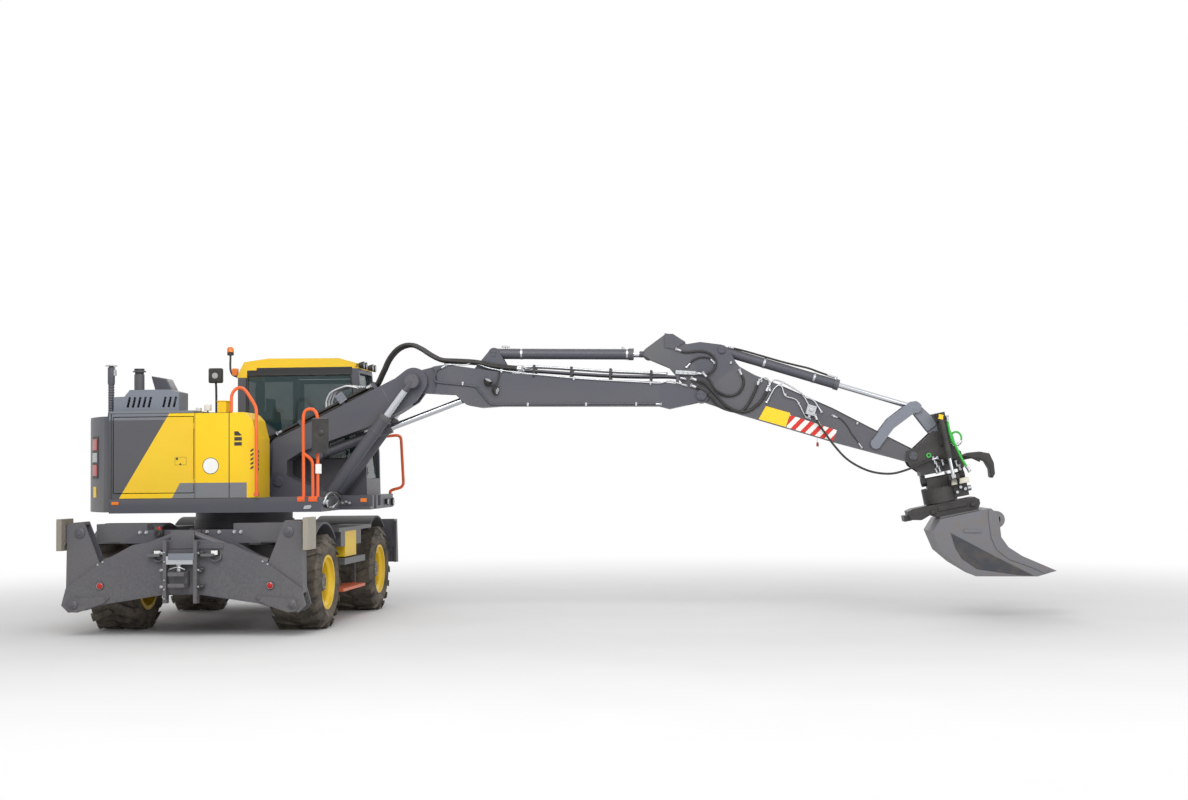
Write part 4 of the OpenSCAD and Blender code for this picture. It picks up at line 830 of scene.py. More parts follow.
    def made(self) -> bpy.types.Object:
        """Turns the form into an object of the scene.

        Returns:
            The object.
        """
        data = bpy.data.meshes.new(self.name)
        self.mesh.to_mesh(data)
        self.mesh.free()
        piece = bpy.data.objects.new(self.name, data)
        bpy.context.scene.collection.objects.link(piece)
        return piece

    def finish(self, finish: Finish, place: Place | str, bevel: float = 0.0, angle: float = 40.0,
               across: tuple[Place, Vector, Vector] | None = None) -> None:
        """Turns the form into a dressed piece that rides on a body; a piece given across is baked in place instead.

        Args:
            finish: The piece's finish.
            place: The body it moves with.
            bevel: Width of the softened edges, in millimetres.
            angle: Edges flatter than this look smooth, in degrees.
            across: For a hose that crosses a joint, the far body and the points where it bends; they are not used.
        """
        piece = self.made()
        if bevel > 0:
            softened = piece.modifiers.new("softened_edges", "BEVEL")
            softened.width = bevel * MM
            softened.segments = 2
            softened.limit_method = "ANGLE"
            softened.angle_limit = math.radians(BEVEL_ABOVE)
        piece.data.shade_smooth()
        piece.data.set_sharp_from_angle(angle=math.radians(angle))
        PAINTS.coat(piece, finish)
        body = place.value if isinstance(place, Place) else place
        if across is None:
            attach(piece, body)
        else:
            tuple(across[1])
            tuple(across[2])
            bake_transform(piece)


def smooth_path(path: Sequence[Vector], steps: int) -> list[Vector]:
    """Runs a smooth curve through the points.

    Args:
        path: The points to pass.
        steps: How many steps to take between two of them.

    Returns:
        The points of the curve.
    """
    if len(path) < 3:
        return [Vector(p) for p in path]
    pts = [path[0] * 2 - path[1], *path, path[-1] * 2 - path[-2]]
    out: list[Vector] = []
    for a, b, c, d in zip(pts, pts[1:], pts[2:], pts[3:]):
        for t in (i / steps for i in range(steps)):
            out.append(0.5 * (2 * b + (c - a) * t + (2 * a - 5 * b + 4 * c - d) * t * t
                              + (3 * b - a - 3 * c + d) * t ** 3))
    out.append(Vector(path[-1]))
    return out


@dataclass
class Steelwork:
    """Dresses the carried-over nodes: each takes the finish whose name is the longest start of its own."""

    coats: dict[str, Finish] = field(default_factory=lambda: {name: finish for finish, names in (
        (DARK_ENAMEL, "chassis_frame axles rear_beam tow_hitch blade leg_barrel upper_frame counterweight"),
        (DARK_ENAMEL, "cab_door boom lift_barrels adjust_barrel arm bucket_barrel"),
        (LIGHT_ENAMEL, "hood_lid rocker link"), (ORANGE_ENAMEL, "rails"),
        (PANEL_ENAMEL, "housing right_door left_door"), (CAB_ENAMEL, "cab_shell"), (LOCKER_ENAMEL, "side_lockers"),
        (GUARD_ENAMEL, "mudguards"), (LEG_ENAMEL, "leg"), (FRONT_RIM, "rim_front"), (REAR_RIM, "rim_rear"),
        (TYRE_RUBBER, "tyre"), (BLACK_CASTING, "knuckle engine coupler tilt_barrels rotor quick_hitch"),
        (BLACK_PLASTIC, "mirrors"), (CAB_GLASS, "cab_glass cab_door_glass"), (SEAT_CLOTH, "operator_station"),
        (HARD_CHROME, "blade_rods leg_rod bucket_rod tilt_rod"), (LIFT_ROD, "lift_rods"),
        (ADJUST_ROD, "adjust_rod"), (ARM_ROD, "arm_rod"), (DIGGING_STEEL, "bucket")) for name in names.split()})

    def dress(self) -> None:
        """Coats every node."""
        for name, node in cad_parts.items():
            PAINTS.coat(node, self.coats[max((k for k in self.coats if name.startswith(k)), key=len)])
            node.data.set_sharp_from_angle(angle=math.radians(CREASE_ABOVE))


@dataclass(frozen=True)
class Line:
    """A hose or pipe that runs along given points, with pressed ferrules or nuts at its ends."""

    name: str
    path: Sequence[Vector]
    radius: float
    place: Place
    finish: Finish = HOSE_RUBBER
    across: tuple[Place, Vector, Vector] | None = None
    ends: tuple[bool, bool] = (True, True)

    def build(self) -> None:
        """Makes the line and its end fittings."""
        Form(self.name).tube(self.path, self.radius).finish(self.finish, self.place, angle=60, across=self.across)
        far = self.across[0] if self.across else self.place
        for wanted, tip, inner, body, tag in ((self.ends[0], self.path[0], self.path[1], self.place, "start"),
                                              (self.ends[1], self.path[-1], self.path[-2], far, "end")):
            if wanted:
                way = (inner - tip).normalized() * MM
                fitting = Form(f"{self.name}_{tag}_fitting")
                fitting.rod(tip - way * FERRULE[0], tip + way * FERRULE[1], self.radius + FERRULE_WALL)
                fitting.hex(tip - way * NUT_BACK, way, self.radius * 2 + NUT_RIM, NUT_LENGTH).finish(ZINC_PLATE, body)


@dataclass
class Wheels:
    """Wheel nuts and hub screws on the four wheels."""

    wheelbase: float = 2600.0
    rear_axle: float = -1097.0
    side: float = 1057.5
    axle_height: float = 527.5

    def build(self) -> None:
        """Dresses each wheel."""
        for end, u in (("front", self.rear_axle + self.wheelbase), ("rear", self.rear_axle)):
            for hand, s in (("left", 1), ("right", -1)):
                def around(count: int, radius: float, depth: float, shift: float = 0.0) -> list[Vector]:
                    """Gives points on a circle round this wheel's axle."""
                    return [under(u + radius * c, s * (self.side + depth), self.axle_height + radius * n)
                            for c, n in circle(count, shift)]
                out, body = SIDE * s, f"wheel_{end}_{hand}"
                nuts, screws = Form(f"wheel_nuts_{end}_{hand}"), Form(f"hub_screws_{end}_{hand}")
                for spot in around(10, 182, 94, 0.5):
                    nuts.rod(spot, spot + out * 0.006, 19).hex(spot, out, 30, 26).rod(spot, spot + out * 0.036, 9)
                for spot in around(12, 139, 164):
                    screws.hex(spot, out, 13, 8)
                for spot in around(6, 66, 224):
                    screws.hex(spot, out, 16, 9)
                nuts.finish(ZINC_PLATE, body)
                screws.finish(ZINC_PLATE, body)


@dataclass
class RearBeam:
    """Lamps, bolts and hitch pins on the outrigger beam and the cross plate above it."""

    face: float = -2200.0
    rail_back: float = -2290.0
    plate_face: float = -1950.0

    def build(self) -> None:
        """Dresses the rear of the undercarriage."""
        self.lamps()
        self.hitch()
        self.legs()

    def lamps(self) -> None:
        """Fits the tail lamps, the cross plate's bolts and the work lamps."""
        bezels, lenses, rims = Form("tail_lamp_bezels"), Form("tail_lamp_lenses"), Form("tail_lamp_rims")
        for v in (-980, 925):
            bezels.ring(under(self.face, v, 565), BACK, [(0, 0), (0, 44), (8, 44), (14, 38), (14, 0)], 32)
            lenses.ring(under(self.face - 14, v, 565), BACK, [(0, 0), (0, 34), (8, 32), (14, 22), (16, 0)], 32)
            rims.ring(under(self.face - 12.5, v, 565), BACK, [(0, 34.3), (4, 37.5), (4, 34.3)], 32)
        bezels.finish(BLACK_PLASTIC, Place.CHASSIS)
        lenses.finish(RED_LENS, Place.CHASSIS)
        rims.finish(ZINC_PLATE, Place.CHASSIS)
        bolts = Form("cross_plate_bolts")
        for v in (-573, -500, -329, -189, 52, 117, 500, 573):
            bolts.rod(under(self.plate_face, v, 1136), under(self.plate_face - 5, v, 1136), 21)
            bolts.hex(under(self.plate_face - 4, v, 1136), BACK, 30, 18)
        bolts.finish(ZINC_PLATE, Place.CHASSIS)
        pads, glass = Form("work_lamp_housings"), Form("work_lamp_lenses")
        for v in (-370, 269):
            pads.box(under, (self.face, v - 46, 893), (-40, 92, 60))
            glass.box(under, (self.face - 40, v - 36, 900), (-4, 72, 46))
        pads.finish(BLACK_PLASTIC, Place.CHASSIS, bevel=4)
        glass.finish(WHITE_FILM, Place.CHASSIS, bevel=1)

    def hitch(self) -> None:
        """Fits the pins, knobs, jaw and bars of the tow hitch, and the rings beside it."""
        pins, knobs = Form("hitch_rail_pins"), Form("hitch_lock_knobs")
        u = self.rail_back + 40
        for s in (-1, 1):
            for z in (556, 737, 920):
                pins.rod(under(u, s * 186, z), under(u, s * 220, z), 17)
                pins.hex(under(u, s * 218, z), SIDE * s, 34, 16)
        for z in (430, 530, 630, 830, 930):
            pins.rod(under(self.rail_back, 170, z), under(self.rail_back - 12, 170, z), 9)
        pins.finish(ZINC_PLATE, Place.CHASSIS)
        for z in (560, 745, 925):
            knobs.ring(under(self.rail_back + 45, -206, z), -SIDE,
                       [(0, 0), (0, 22), (18, 27), (40, 24), (52, 14), (52, 0)], 20)
        knobs.finish(BLACK_CASTING, Place.CHASSIS)
        hook = Form("tow_jaw_fittings")
        hook.rod(under(-2312, 0, 725), under(-2312, 0, 790), 22).rod(under(-2312, 0, 790), under(-2312, 0, 800), 30)
        hook.tube([under(-2300, -60, 745), under(-2330, 0, 770), under(-2300, 90, 755), under(-2270, 130, 735)], 9)
        hook.box(under, (-2282, -150, 800), (-20, 300, 90)).finish(ZINC_PLATE, Place.CHASSIS, bevel=2)
        plate = Form("hitch_top_plate").box(under, (self.face, -460, 965), (-12, 690, 45))
        plate.finish(DARK_ENAMEL, Place.CHASSIS, bevel=3)
        rings = Form("tie_down_rings")
        for v in (257, -380):
            rings.tube([under(self.face - out, v + side, z) for out, side, z in
                        ((4, -50, 905), (30, -50, 855), (34, 0, 830), (30, 50, 855), (4, 50, 905))], 11)
        rings.finish(DARK_ENAMEL, Place.CHASSIS)
        bar = Form("hitch_cross_bar").box(under, (self.rail_back, -163, 850), (-22, 286, 70))
        bar.finish(LIGHT_ENAMEL, Place.CHASSIS, bevel=3)

    def legs(self) -> None:
        """Fits the outriggers' pivot guards, pins and bolts, and the valves above the beam."""
        guards, pins = Form("leg_pivot_guards"), Form("leg_pivot_pins")
        outline = [(838, 464), (1151, 421), (1227, 428), (1290, 385), (1296, 325), (1240, 284), (1192, 285),
                   (1056, 312), (906, 366), (816, 430)]
        for s in (-1, 1):
            guards.plate([under(self.face, s * v, z) for v, z in outline], BACK * 0.014)
            pins.ring(under(self.face - 13, s * 1227, 360), BACK, [(0, 0), (0, 48), (12, 48), (18, 40), (18, 0)], 28)
            pins.hex(under(self.face - 30, s * 1227, 360), BACK, 34, 14)
            pins.hex(under(self.face - 13, s * 870, 428), BACK, 20, 9)
        guards.finish(DARK_ENAMEL, Place.CHASSIS, bevel=4)
        pins.finish(DARK_ENAMEL, Place.CHASSIS)
        for s, place, hand in ((1, Place.LEFT_LEG, "left"), (-1, Place.RIGHT_LEG, "right")):
            head = Form(f"leg_head_boss_{hand}")
            head.ring(under(-2164, s * 1172, 1140), BACK, [(0, 0), (0, 56), (12, 56), (18, 46), (18, 0)], 28)
            head.hex(under(-2181, s * 1172, 1140), BACK, 32, 12).finish(DARK_ENAMEL, place)
        cluster = Form("rear_valve_cluster").box(under, (self.plate_face, 296, 1098), (-70, 90, 70))
        cluster.rod(under(-2018, 318, 1120), under(-2050, 318, 1120), 14)
        cluster.rod(under(-2018, 360, 1140), under(-2046, 360, 1140), 14)
        cluster.finish(BLACK_CASTING, Place.CHASSIS, bevel=3)
        cap = Form("rear_valve_cap").ring(under(-1985, 341, 1167), UP, [(0, 0), (0, 22), (26, 20), (34, 0)], 20)
        cap.finish(RED_LENS, Place.CHASSIS)
        bolts = Form("leg_head_bolts")
        for s in (-1, 1):
            for v, z in ((952, 796), (897, 826)):
                bolts.hex(under(self.face, s * v, z), BACK, 22, 10)
        bolts.finish(ZINC_PLATE, Place.CHASSIS)


@dataclass
class UpperBody:
    """Vents, seams, lamps, locks and the blank disc on the superstructure."""

    side: float = -1270.0
    seam: float = 167.0
    disc_at: Flat = (-48.0, 1869.0)
    disc_radius: float = 95.0
    roof: float = 2480.0
    stack: Flat = (-1120.0, -560.0)
    tail_pipe_at: Flat = (-1276.0, -1085.0)

    def slot(self, form: Form, corners: Sequence[Flat], depth: float) -> None:
        """Adds a thin raised insert on the right side panel."""
        form.plate(row(upper, self.side, corners), RIGHT * depth * MM)

    def build(self) -> None:
        """Dresses the superstructure."""
        self.panels()
        self.locks_and_markers()
        self.rear_lamps()
        self.roof_items()
        self.cab_side_items()
        self.front_items()
        self.deck_items()

    def panels(self) -> None:
        """Sets the vents, seams and the blank disc into the side panels."""
        vents = Form("panel_vents")
        for low, high, cut in ((2213, 2262, 45), (2155, 2196, 0), (2098, 2138, 0)):
            self.slot(vents, [(228, low), (315, low), (315, high - cut), (315 - cut, high), (228, high)], 3)
        for z in range(1822, 2072, 50):
            self.slot(vents, [(415, z), (450, z + 22), (450, z + 44), (415, z + 22)], 3)
        vents.finish(BLACK_PLASTIC, Place.UPPER)
        front = Form("front_corner_vents")
        for z in range(1810, 2060, 50):
            front.plate([upper(491, y, h) for y, h in ((-1245, z + 22), (-1195, z), (-1195, z + 22), (-1245, z + 44))],
                        AHEAD * 0.003)
        front.finish(BLACK_PLASTIC, Place.UPPER)
        seams = Form("panel_seams")
        for x0, x1, z0, z1 in ((self.seam - 5, self.seam + 5, 1502, 2478), (-1216, -1202, 1502, 2478),
                               (-235, -229, 1502, 2478), (-1235, 200, 2476, 2481), (-1235, 480, 1497, 1503)):
            self.slot(seams, [(x0, z0), (x1, z0), (x1, z1), (x0, z1)], 1.2)
        seams.finish(BLACK_PLASTIC, Place.UPPER)
        x, z, r = *self.disc_at, self.disc_radius
        rim = Form("speed_disc_rim").ring(upper(x, self.side, z), RIGHT, [(0, 0), (0, r), (1.6, r), (1.6, 0)], 64)
        rim.finish(BLACK_PLASTIC, Place.UPPER)
        face = Form("speed_disc_face")
        face.ring(upper(x, self.side - 1.6, z), RIGHT, [(0, 0), (0, r - 7), (1, r - 7), (1, 0)], 64)
        face.finish(WHITE_FILM, Place.UPPER)

    def locks_and_markers(self) -> None:
        """Fits the doors' locks and the lamps at the deck's sides."""
        locks = Form("right_door_lock")
        self.slot(locks, [(-452, 1940), (-428, 1940), (-428, 1966), (-452, 1966)], 2)
        self.slot(locks, [(-414, 1884), (-388, 1884), (-388, 1892), (-401, 1906), (-414, 1892)], 2)
        for a, b in (((-462, 1882), (-332, 1885)), ((-462, 1970), (-332, 1973)), ((-465, 1882), (-462, 1973)),
                     ((-335, 1882), (-332, 1973))):
            self.slot(locks, [a, (b[0], a[1]), b, (a[0], b[1])], 1)
        locks.finish(BLACK_PLASTIC, Place.RIGHT_DOOR)
        far_lock = Form("left_door_lock").box(upper, (-440, 1270, 1895), (100, 4, 50))
        far_lock.rod(upper(-375, 1274, 1920), upper(-375, 1278, 1920), 11)
        far_lock.finish(BLACK_PLASTIC, Place.LEFT_DOOR, bevel=2)
        markers = Form("side_marker_lamps")
        self.slot(markers, [(-1205, 1430), (-1121, 1430), (-1121, 1466), (-1205, 1466)], 9)
        markers.box(upper, (1490, -292, 1424), (74, -14, 44)).finish(AMBER_LENS, Place.UPPER, bevel=3)
        bright = Form("deck_side_lamp")
        self.slot(bright, [(1024, 1366), (1098, 1366), (1122, 1390), (1110, 1412), (1040, 1404)], 14)
        bright.finish(CLEAR_LENS, Place.UPPER, bevel=3)

    def rear_lamps(self) -> None:
        """Sets the stacked lamps into the counterweight's rear corners."""
        steps, centre = 6, upper(0, 0, 0)
        for name, a0, a1, z0, z1, radius, finish in (
                ("rear_lamp_bezels", 30.5, 38.0, 1735, 2225, 1799, BLACK_PLASTIC),
                ("rear_lamp_upper", 31.2, 37.2, 2065, 2195, 1804, RED_LENS),
                ("rear_lamp_lower", 31.2, 37.2, 1765, 1895, 1804, RED_LENS),
                ("rear_lamp_middle", 31.2, 37.2, 1925, 2035, 1804, CLEAR_LENS),
                ("rear_marker", 32.0, 35.5, 1515, 1640, 1799, YELLOW_FILM)):
            form = Form(name)
            for s in (-1, 1):
                for i in range(steps):
                    b0, b1 = (math.radians(180 + s * (a0 + (a1 - a0) * k / steps)) for k in (i, i + 1))
                    corners = [upper(radius * math.cos(b), radius * math.sin(b), z)
                               for b, z in ((b0, z0), (b1, z0), (b1, z1), (b0, z1))]
                    out = (corners[0] + corners[1]) / 2 - centre
                    form.plate(corners, Vector((out.x, out.y, 0)).normalized() * 0.008)
            form.finish(finish, Place.UPPER)

    def roof_items(self) -> None:
        """Stands the intake fin, lamps, filler box and exhausts on top of the housing."""
        fin = Form("air_intake_fin").plate(row(upper, -330, [(-1030, 2480), (-1009, 2802), (-1056, 2966), (-867, 2932),
                                                             (-796, 2792), (-720, 2480)]), RIGHT * -0.26)
        fin.finish(DARK_ENAMEL, Place.UPPER, bevel=14)
        ribs = Form("air_intake_slots")
        for z in range(2560, 2785, 45):
            ribs.box(upper, (-985, -331, z), (190, -3, 18))
        ribs.finish(BLACK_PLASTIC, Place.UPPER)
        box = Form("filler_box").box(upper, (-45, -1000, self.roof - 0.5), (100, 200, 145))
        box.box(upper, (-55, -1010, 2615), (120, 220, 15)).finish(YELLOW_ENAMEL, Place.UPPER, bevel=8)
        stalks, heads = Form("top_lamp_stalks"), Form("top_lamp_heads")
        for x, y, z, w in ((-290, -560, 2566, 75), (-400, -560, 2540, 55)):
            stalks.rod(upper(x, y, self.roof), upper(x, y, z), 9)
            heads.box(upper, (x - w / 2, y - 35, z - w / 2), (w, 70, w))
        stalks.finish(BLACK_PLASTIC, Place.UPPER)
        heads.finish(WHITE_FILM, Place.UPPER, bevel=6)
        sleeve = Form("exhaust_heat_shield")
        sleeve.ring(upper(*self.stack, 2790), UP, [(0, 53), (0, 60), (180, 60), (180, 53)], 32)
        sleeve.ring(upper(*self.stack, 2999), UP, [(0, 0), (0, 78), (12, 78), (18, 60), (18, 0)], 32)
        sleeve.finish(DARK_ENAMEL, Place.UPPER)
        folds = [(60 + z, 37 if k % 2 else 31) for k, z in enumerate(range(0, 330, 15))]
        sleeve = Form("tail_pipe_sleeve")
        sleeve.ring(upper(*self.tail_pipe_at, 2451), UP, [(0, 28.5), (0, 42), (50, 36), *folds, (395, 41), (575, 41),
                                                          (575, 28.5)], 28)
        sleeve.finish(DARK_ENAMEL, Place.UPPER)
        cap = Form("tail_pipe_cap")
        cap.ring(upper(*self.tail_pipe_at, 3040), UP, [(0, 0), (0, 74), (6, 74), (14, 52), (18, 0)], 28)
        cap.rod(upper(-1240, -1085, 2990), upper(-1232, -1085, 3034), 6)
        cap.box(upper, (-1250, -1105, 2930), (30, 40, 70)).finish(ZINC_PLATE, Place.UPPER, bevel=1)

    def cab_side_items(self) -> None:
        """Stands the camera, the beacon and the turn lamp beside and behind the cab."""
        Form("rear_camera_head").box(upper, (-705, 860, 2938), (180, 80, 190)).finish(
            BLACK_PLASTIC, Place.UPPER, bevel=18)
        Form("rear_camera_lens").rod(upper(-615, 862, 3030), upper(-615, 852, 3030), 38, sides=28).finish(
            CLEAR_LENS, Place.UPPER)
        Form("rear_camera_post").tube(row(upper, 900, [(-610, 2480), (-610, 2800), (-615, 2940)]), 14).finish(
            BLACK_PLASTIC, Place.UPPER)
        stem = Form("beacon_stem").tube(row(upper, 900, [(-190, 2975), (-330, 3010), (-420, 3080), (-425, 3325)]), 13)
        stem.rod(upper(-425, 900, 3290), upper(-425, 900, 3330), 42, sides=28).finish(BLACK_PLASTIC, Place.UPPER)
        dome = Form("beacon_dome")
        dome.ring(upper(-425, 900, 3330), UP, [(0, 0), (0, 44), (45, 42), (60, 34), (68, 18), (70, 0)], 32)
        dome.finish(AMBER_LENS, Place.UPPER)
        Form("rear_turn_lamp").box(upper, (-350, 690, 3020), (75, 60, 90)).finish(AMBER_LENS, Place.UPPER, bevel=8)
        Form("rear_turn_lamp_bracket").tube(row(upper, 720, [(-180, 2960), (-240, 2970), (-285, 3030)]), 9).finish(
            BLACK_PLASTIC, Place.UPPER)

    def front_items(self) -> None:
        """Fits headlamps and the two hoses to the front of the deck."""
        shells, lenses = Form("headlamp_shells"), Form("headlamp_lenses")
        for x, y, z, r in ((1610, 700, 1410, 38), (1600, 1150, 1400, 46), (1235, -1080, 1412, 34)):
            shells.ring(upper(x, y, z), AHEAD, [(-2, 0), (-2, r * 0.8), (14, r + 6), (30, r + 6), (30, r)], 28)
            lenses.ring(upper(x + 22, y, z), AHEAD, [(0, 0), (0, r), (9, r * 0.92), (13, 0)], 28)
        shells.finish(BLACK_PLASTIC, Place.UPPER)
        lenses.finish(CLEAR_LENS, Place.UPPER)
        for k in range(2):
            path = [upper(1240 + x + 26 * k, y + 30 * k, z) for x, y, z in
                    ((0, -1180, 1440), (34, -1120, 1525), (38, -885, 1541), (30, -600, 1490), (26, -520, 1440),
                     (22, -757, 1384), (0, -900, 1376))]
            Line(f"deck_front_hose_{k + 1}", path, 12, Place.UPPER, HOSE_RUBBER if k else ZINC_PLATE).build()

    def deck_items(self) -> None:
        """Fits the gate rail's feet, the ports, the reflector and the mirror's parts."""
        feet = Form("gate_rail_foot_plates")
        for x, wide in ((955, 85), (1085, 103)):
            feet.box(upper, (x, -1278, 1500), (wide, 168, 8)).box(upper, (x, -1278, 1450), (wide, 8, 52))
            for dx in (20, wide - 20):
                feet.hex(upper(x + dx, -1278, 1474), RIGHT, 18, 9)
        feet.finish(ORANGE_ENAMEL, Place.UPPER, bevel=2)
        ports = Form("deck_face_ports")
        for x, z in ((1268, 1412), (1310, 1425), (1350, 1412)):
            ports.hex(upper(x, -262, z), RIGHT, 34, 22).rod(upper(x, -280, z), upper(x, -308, z), 10)
        ports.finish(ZINC_PLATE, Place.UPPER)
        Form("gate_reflector").box(upper, (1145, -1172, 1768), (70, -6, 110)).finish(WHITE_FILM, Place.UPPER, bevel=2)
        Form("mirror_glass").plate([upper(1116, y, z) for y, z in ((-1228, 2015), (-1182, 2015), (-1182, 2380),
                                                                   (-1228, 2380))], AHEAD * 0.003).finish(
            HARD_CHROME, Place.UPPER)
        Form("mirror_top_cap").box(upper, (1122, -1236, 2396), (170, 60, 6)).finish(LIGHT_ENAMEL, Place.UPPER, bevel=2)
        Form("mirror_face_boss").ring(upper(1225, -1240, 2235), RIGHT, [(-2, 0), (-2, 34), (6, 34), (12, 26), (12, 0)],
                                      28).finish(BLACK_CASTING, Place.UPPER)


@dataclass
class Cab:
    """Window seal, wiper, roof lamps, visor bar, door grip, levers and monitor of the cab."""

    right: float = 355.0

    def build(self) -> None:
        """Dresses the cab."""
        outline = row(upper, self.right + 8, [(-58, 2560), (-58, 2999), (1240, 2999), (1262, 2842), (1330, 2030),
                                              (1290, 1950), (560, 1950), (300, 2300), (-58, 2560)])
        seal = Form("side_window_seal")
        for a, b in zip(outline, outline[1:]):
            seal.rod(a, b, 11, sides=10)
        seal.finish(BLACK_PLASTIC, Place.UPPER)
        Form("sun_visor_bar").box(upper, (246, 470, 3001), (550, 500, 20)).finish(LIGHT_ENAMEL, Place.UPPER, bevel=6)
        lamps, glass = Form("roof_lamp_shells"), Form("roof_lamp_lenses")
        for y in (430, 600, 1010, 1180):
            lamps.ring(upper(1335, y, 3112), AHEAD, [(-4, 0), (-4, 30), (50, 46), (62, 46), (62, 40)], 24)
            glass.ring(upper(1388, y, 3112), AHEAD, [(0, 0), (0, 40), (8, 36), (11, 0)], 24)
        lamps.finish(BLACK_PLASTIC, Place.UPPER)
        glass.finish(CLEAR_LENS, Place.UPPER)
        wiper = Form("windscreen_wiper")
        wiper.tube([upper(1452, 820, 1760), upper(1440, 780, 2150), upper(1412, 700, 2520)], 7)
        wiper.tube([upper(1436, 640, 2250), upper(1412, 700, 2520), upper(1392, 760, 2800)], 6)
        wiper.finish(BLACK_PLASTIC, Place.UPPER)
        grip = Form("cab_door_grip")
        grip.tube([upper(450, y, z) for y, z in ((1256, 2150), (1290, 2165), (1290, 2345), (1256, 2360))], 10)
        grip.box(upper, (420, 1254, 1960), (110, 14, 60)).finish(BLACK_PLASTIC, Place.CAB_DOOR, bevel=2)
        levers, knobs = Form("control_levers"), Form("control_lever_grips")
        for y in (505, 1105):
            levers.rod(upper(720, y, 2058), upper(745, y, 2160), 9)
            knobs.rod(upper(745, y, 2150), upper(762, y, 2240), 24, chamfer=0.5)
        levers.finish(BLACK_PLASTIC, Place.UPPER)
        knobs.finish(BLACK_PLASTIC, Place.UPPER)
        screen = Form("monitor").box(upper, (1130, 500, 2090), (30, 170, 210))
        screen.rod(upper(1150, 560, 1560), upper(1150, 560, 2095), 14).finish(BLACK_PLASTIC, Place.UPPER, bevel=5)


def between(start: Flat, end: Flat) -> Axes:
    """Gives axes that start at one point of the side plane and run to another."""
    return partial(LAYOUT.line, start, math.degrees(math.atan2(end[1] - start[1], end[0] - start[0])))


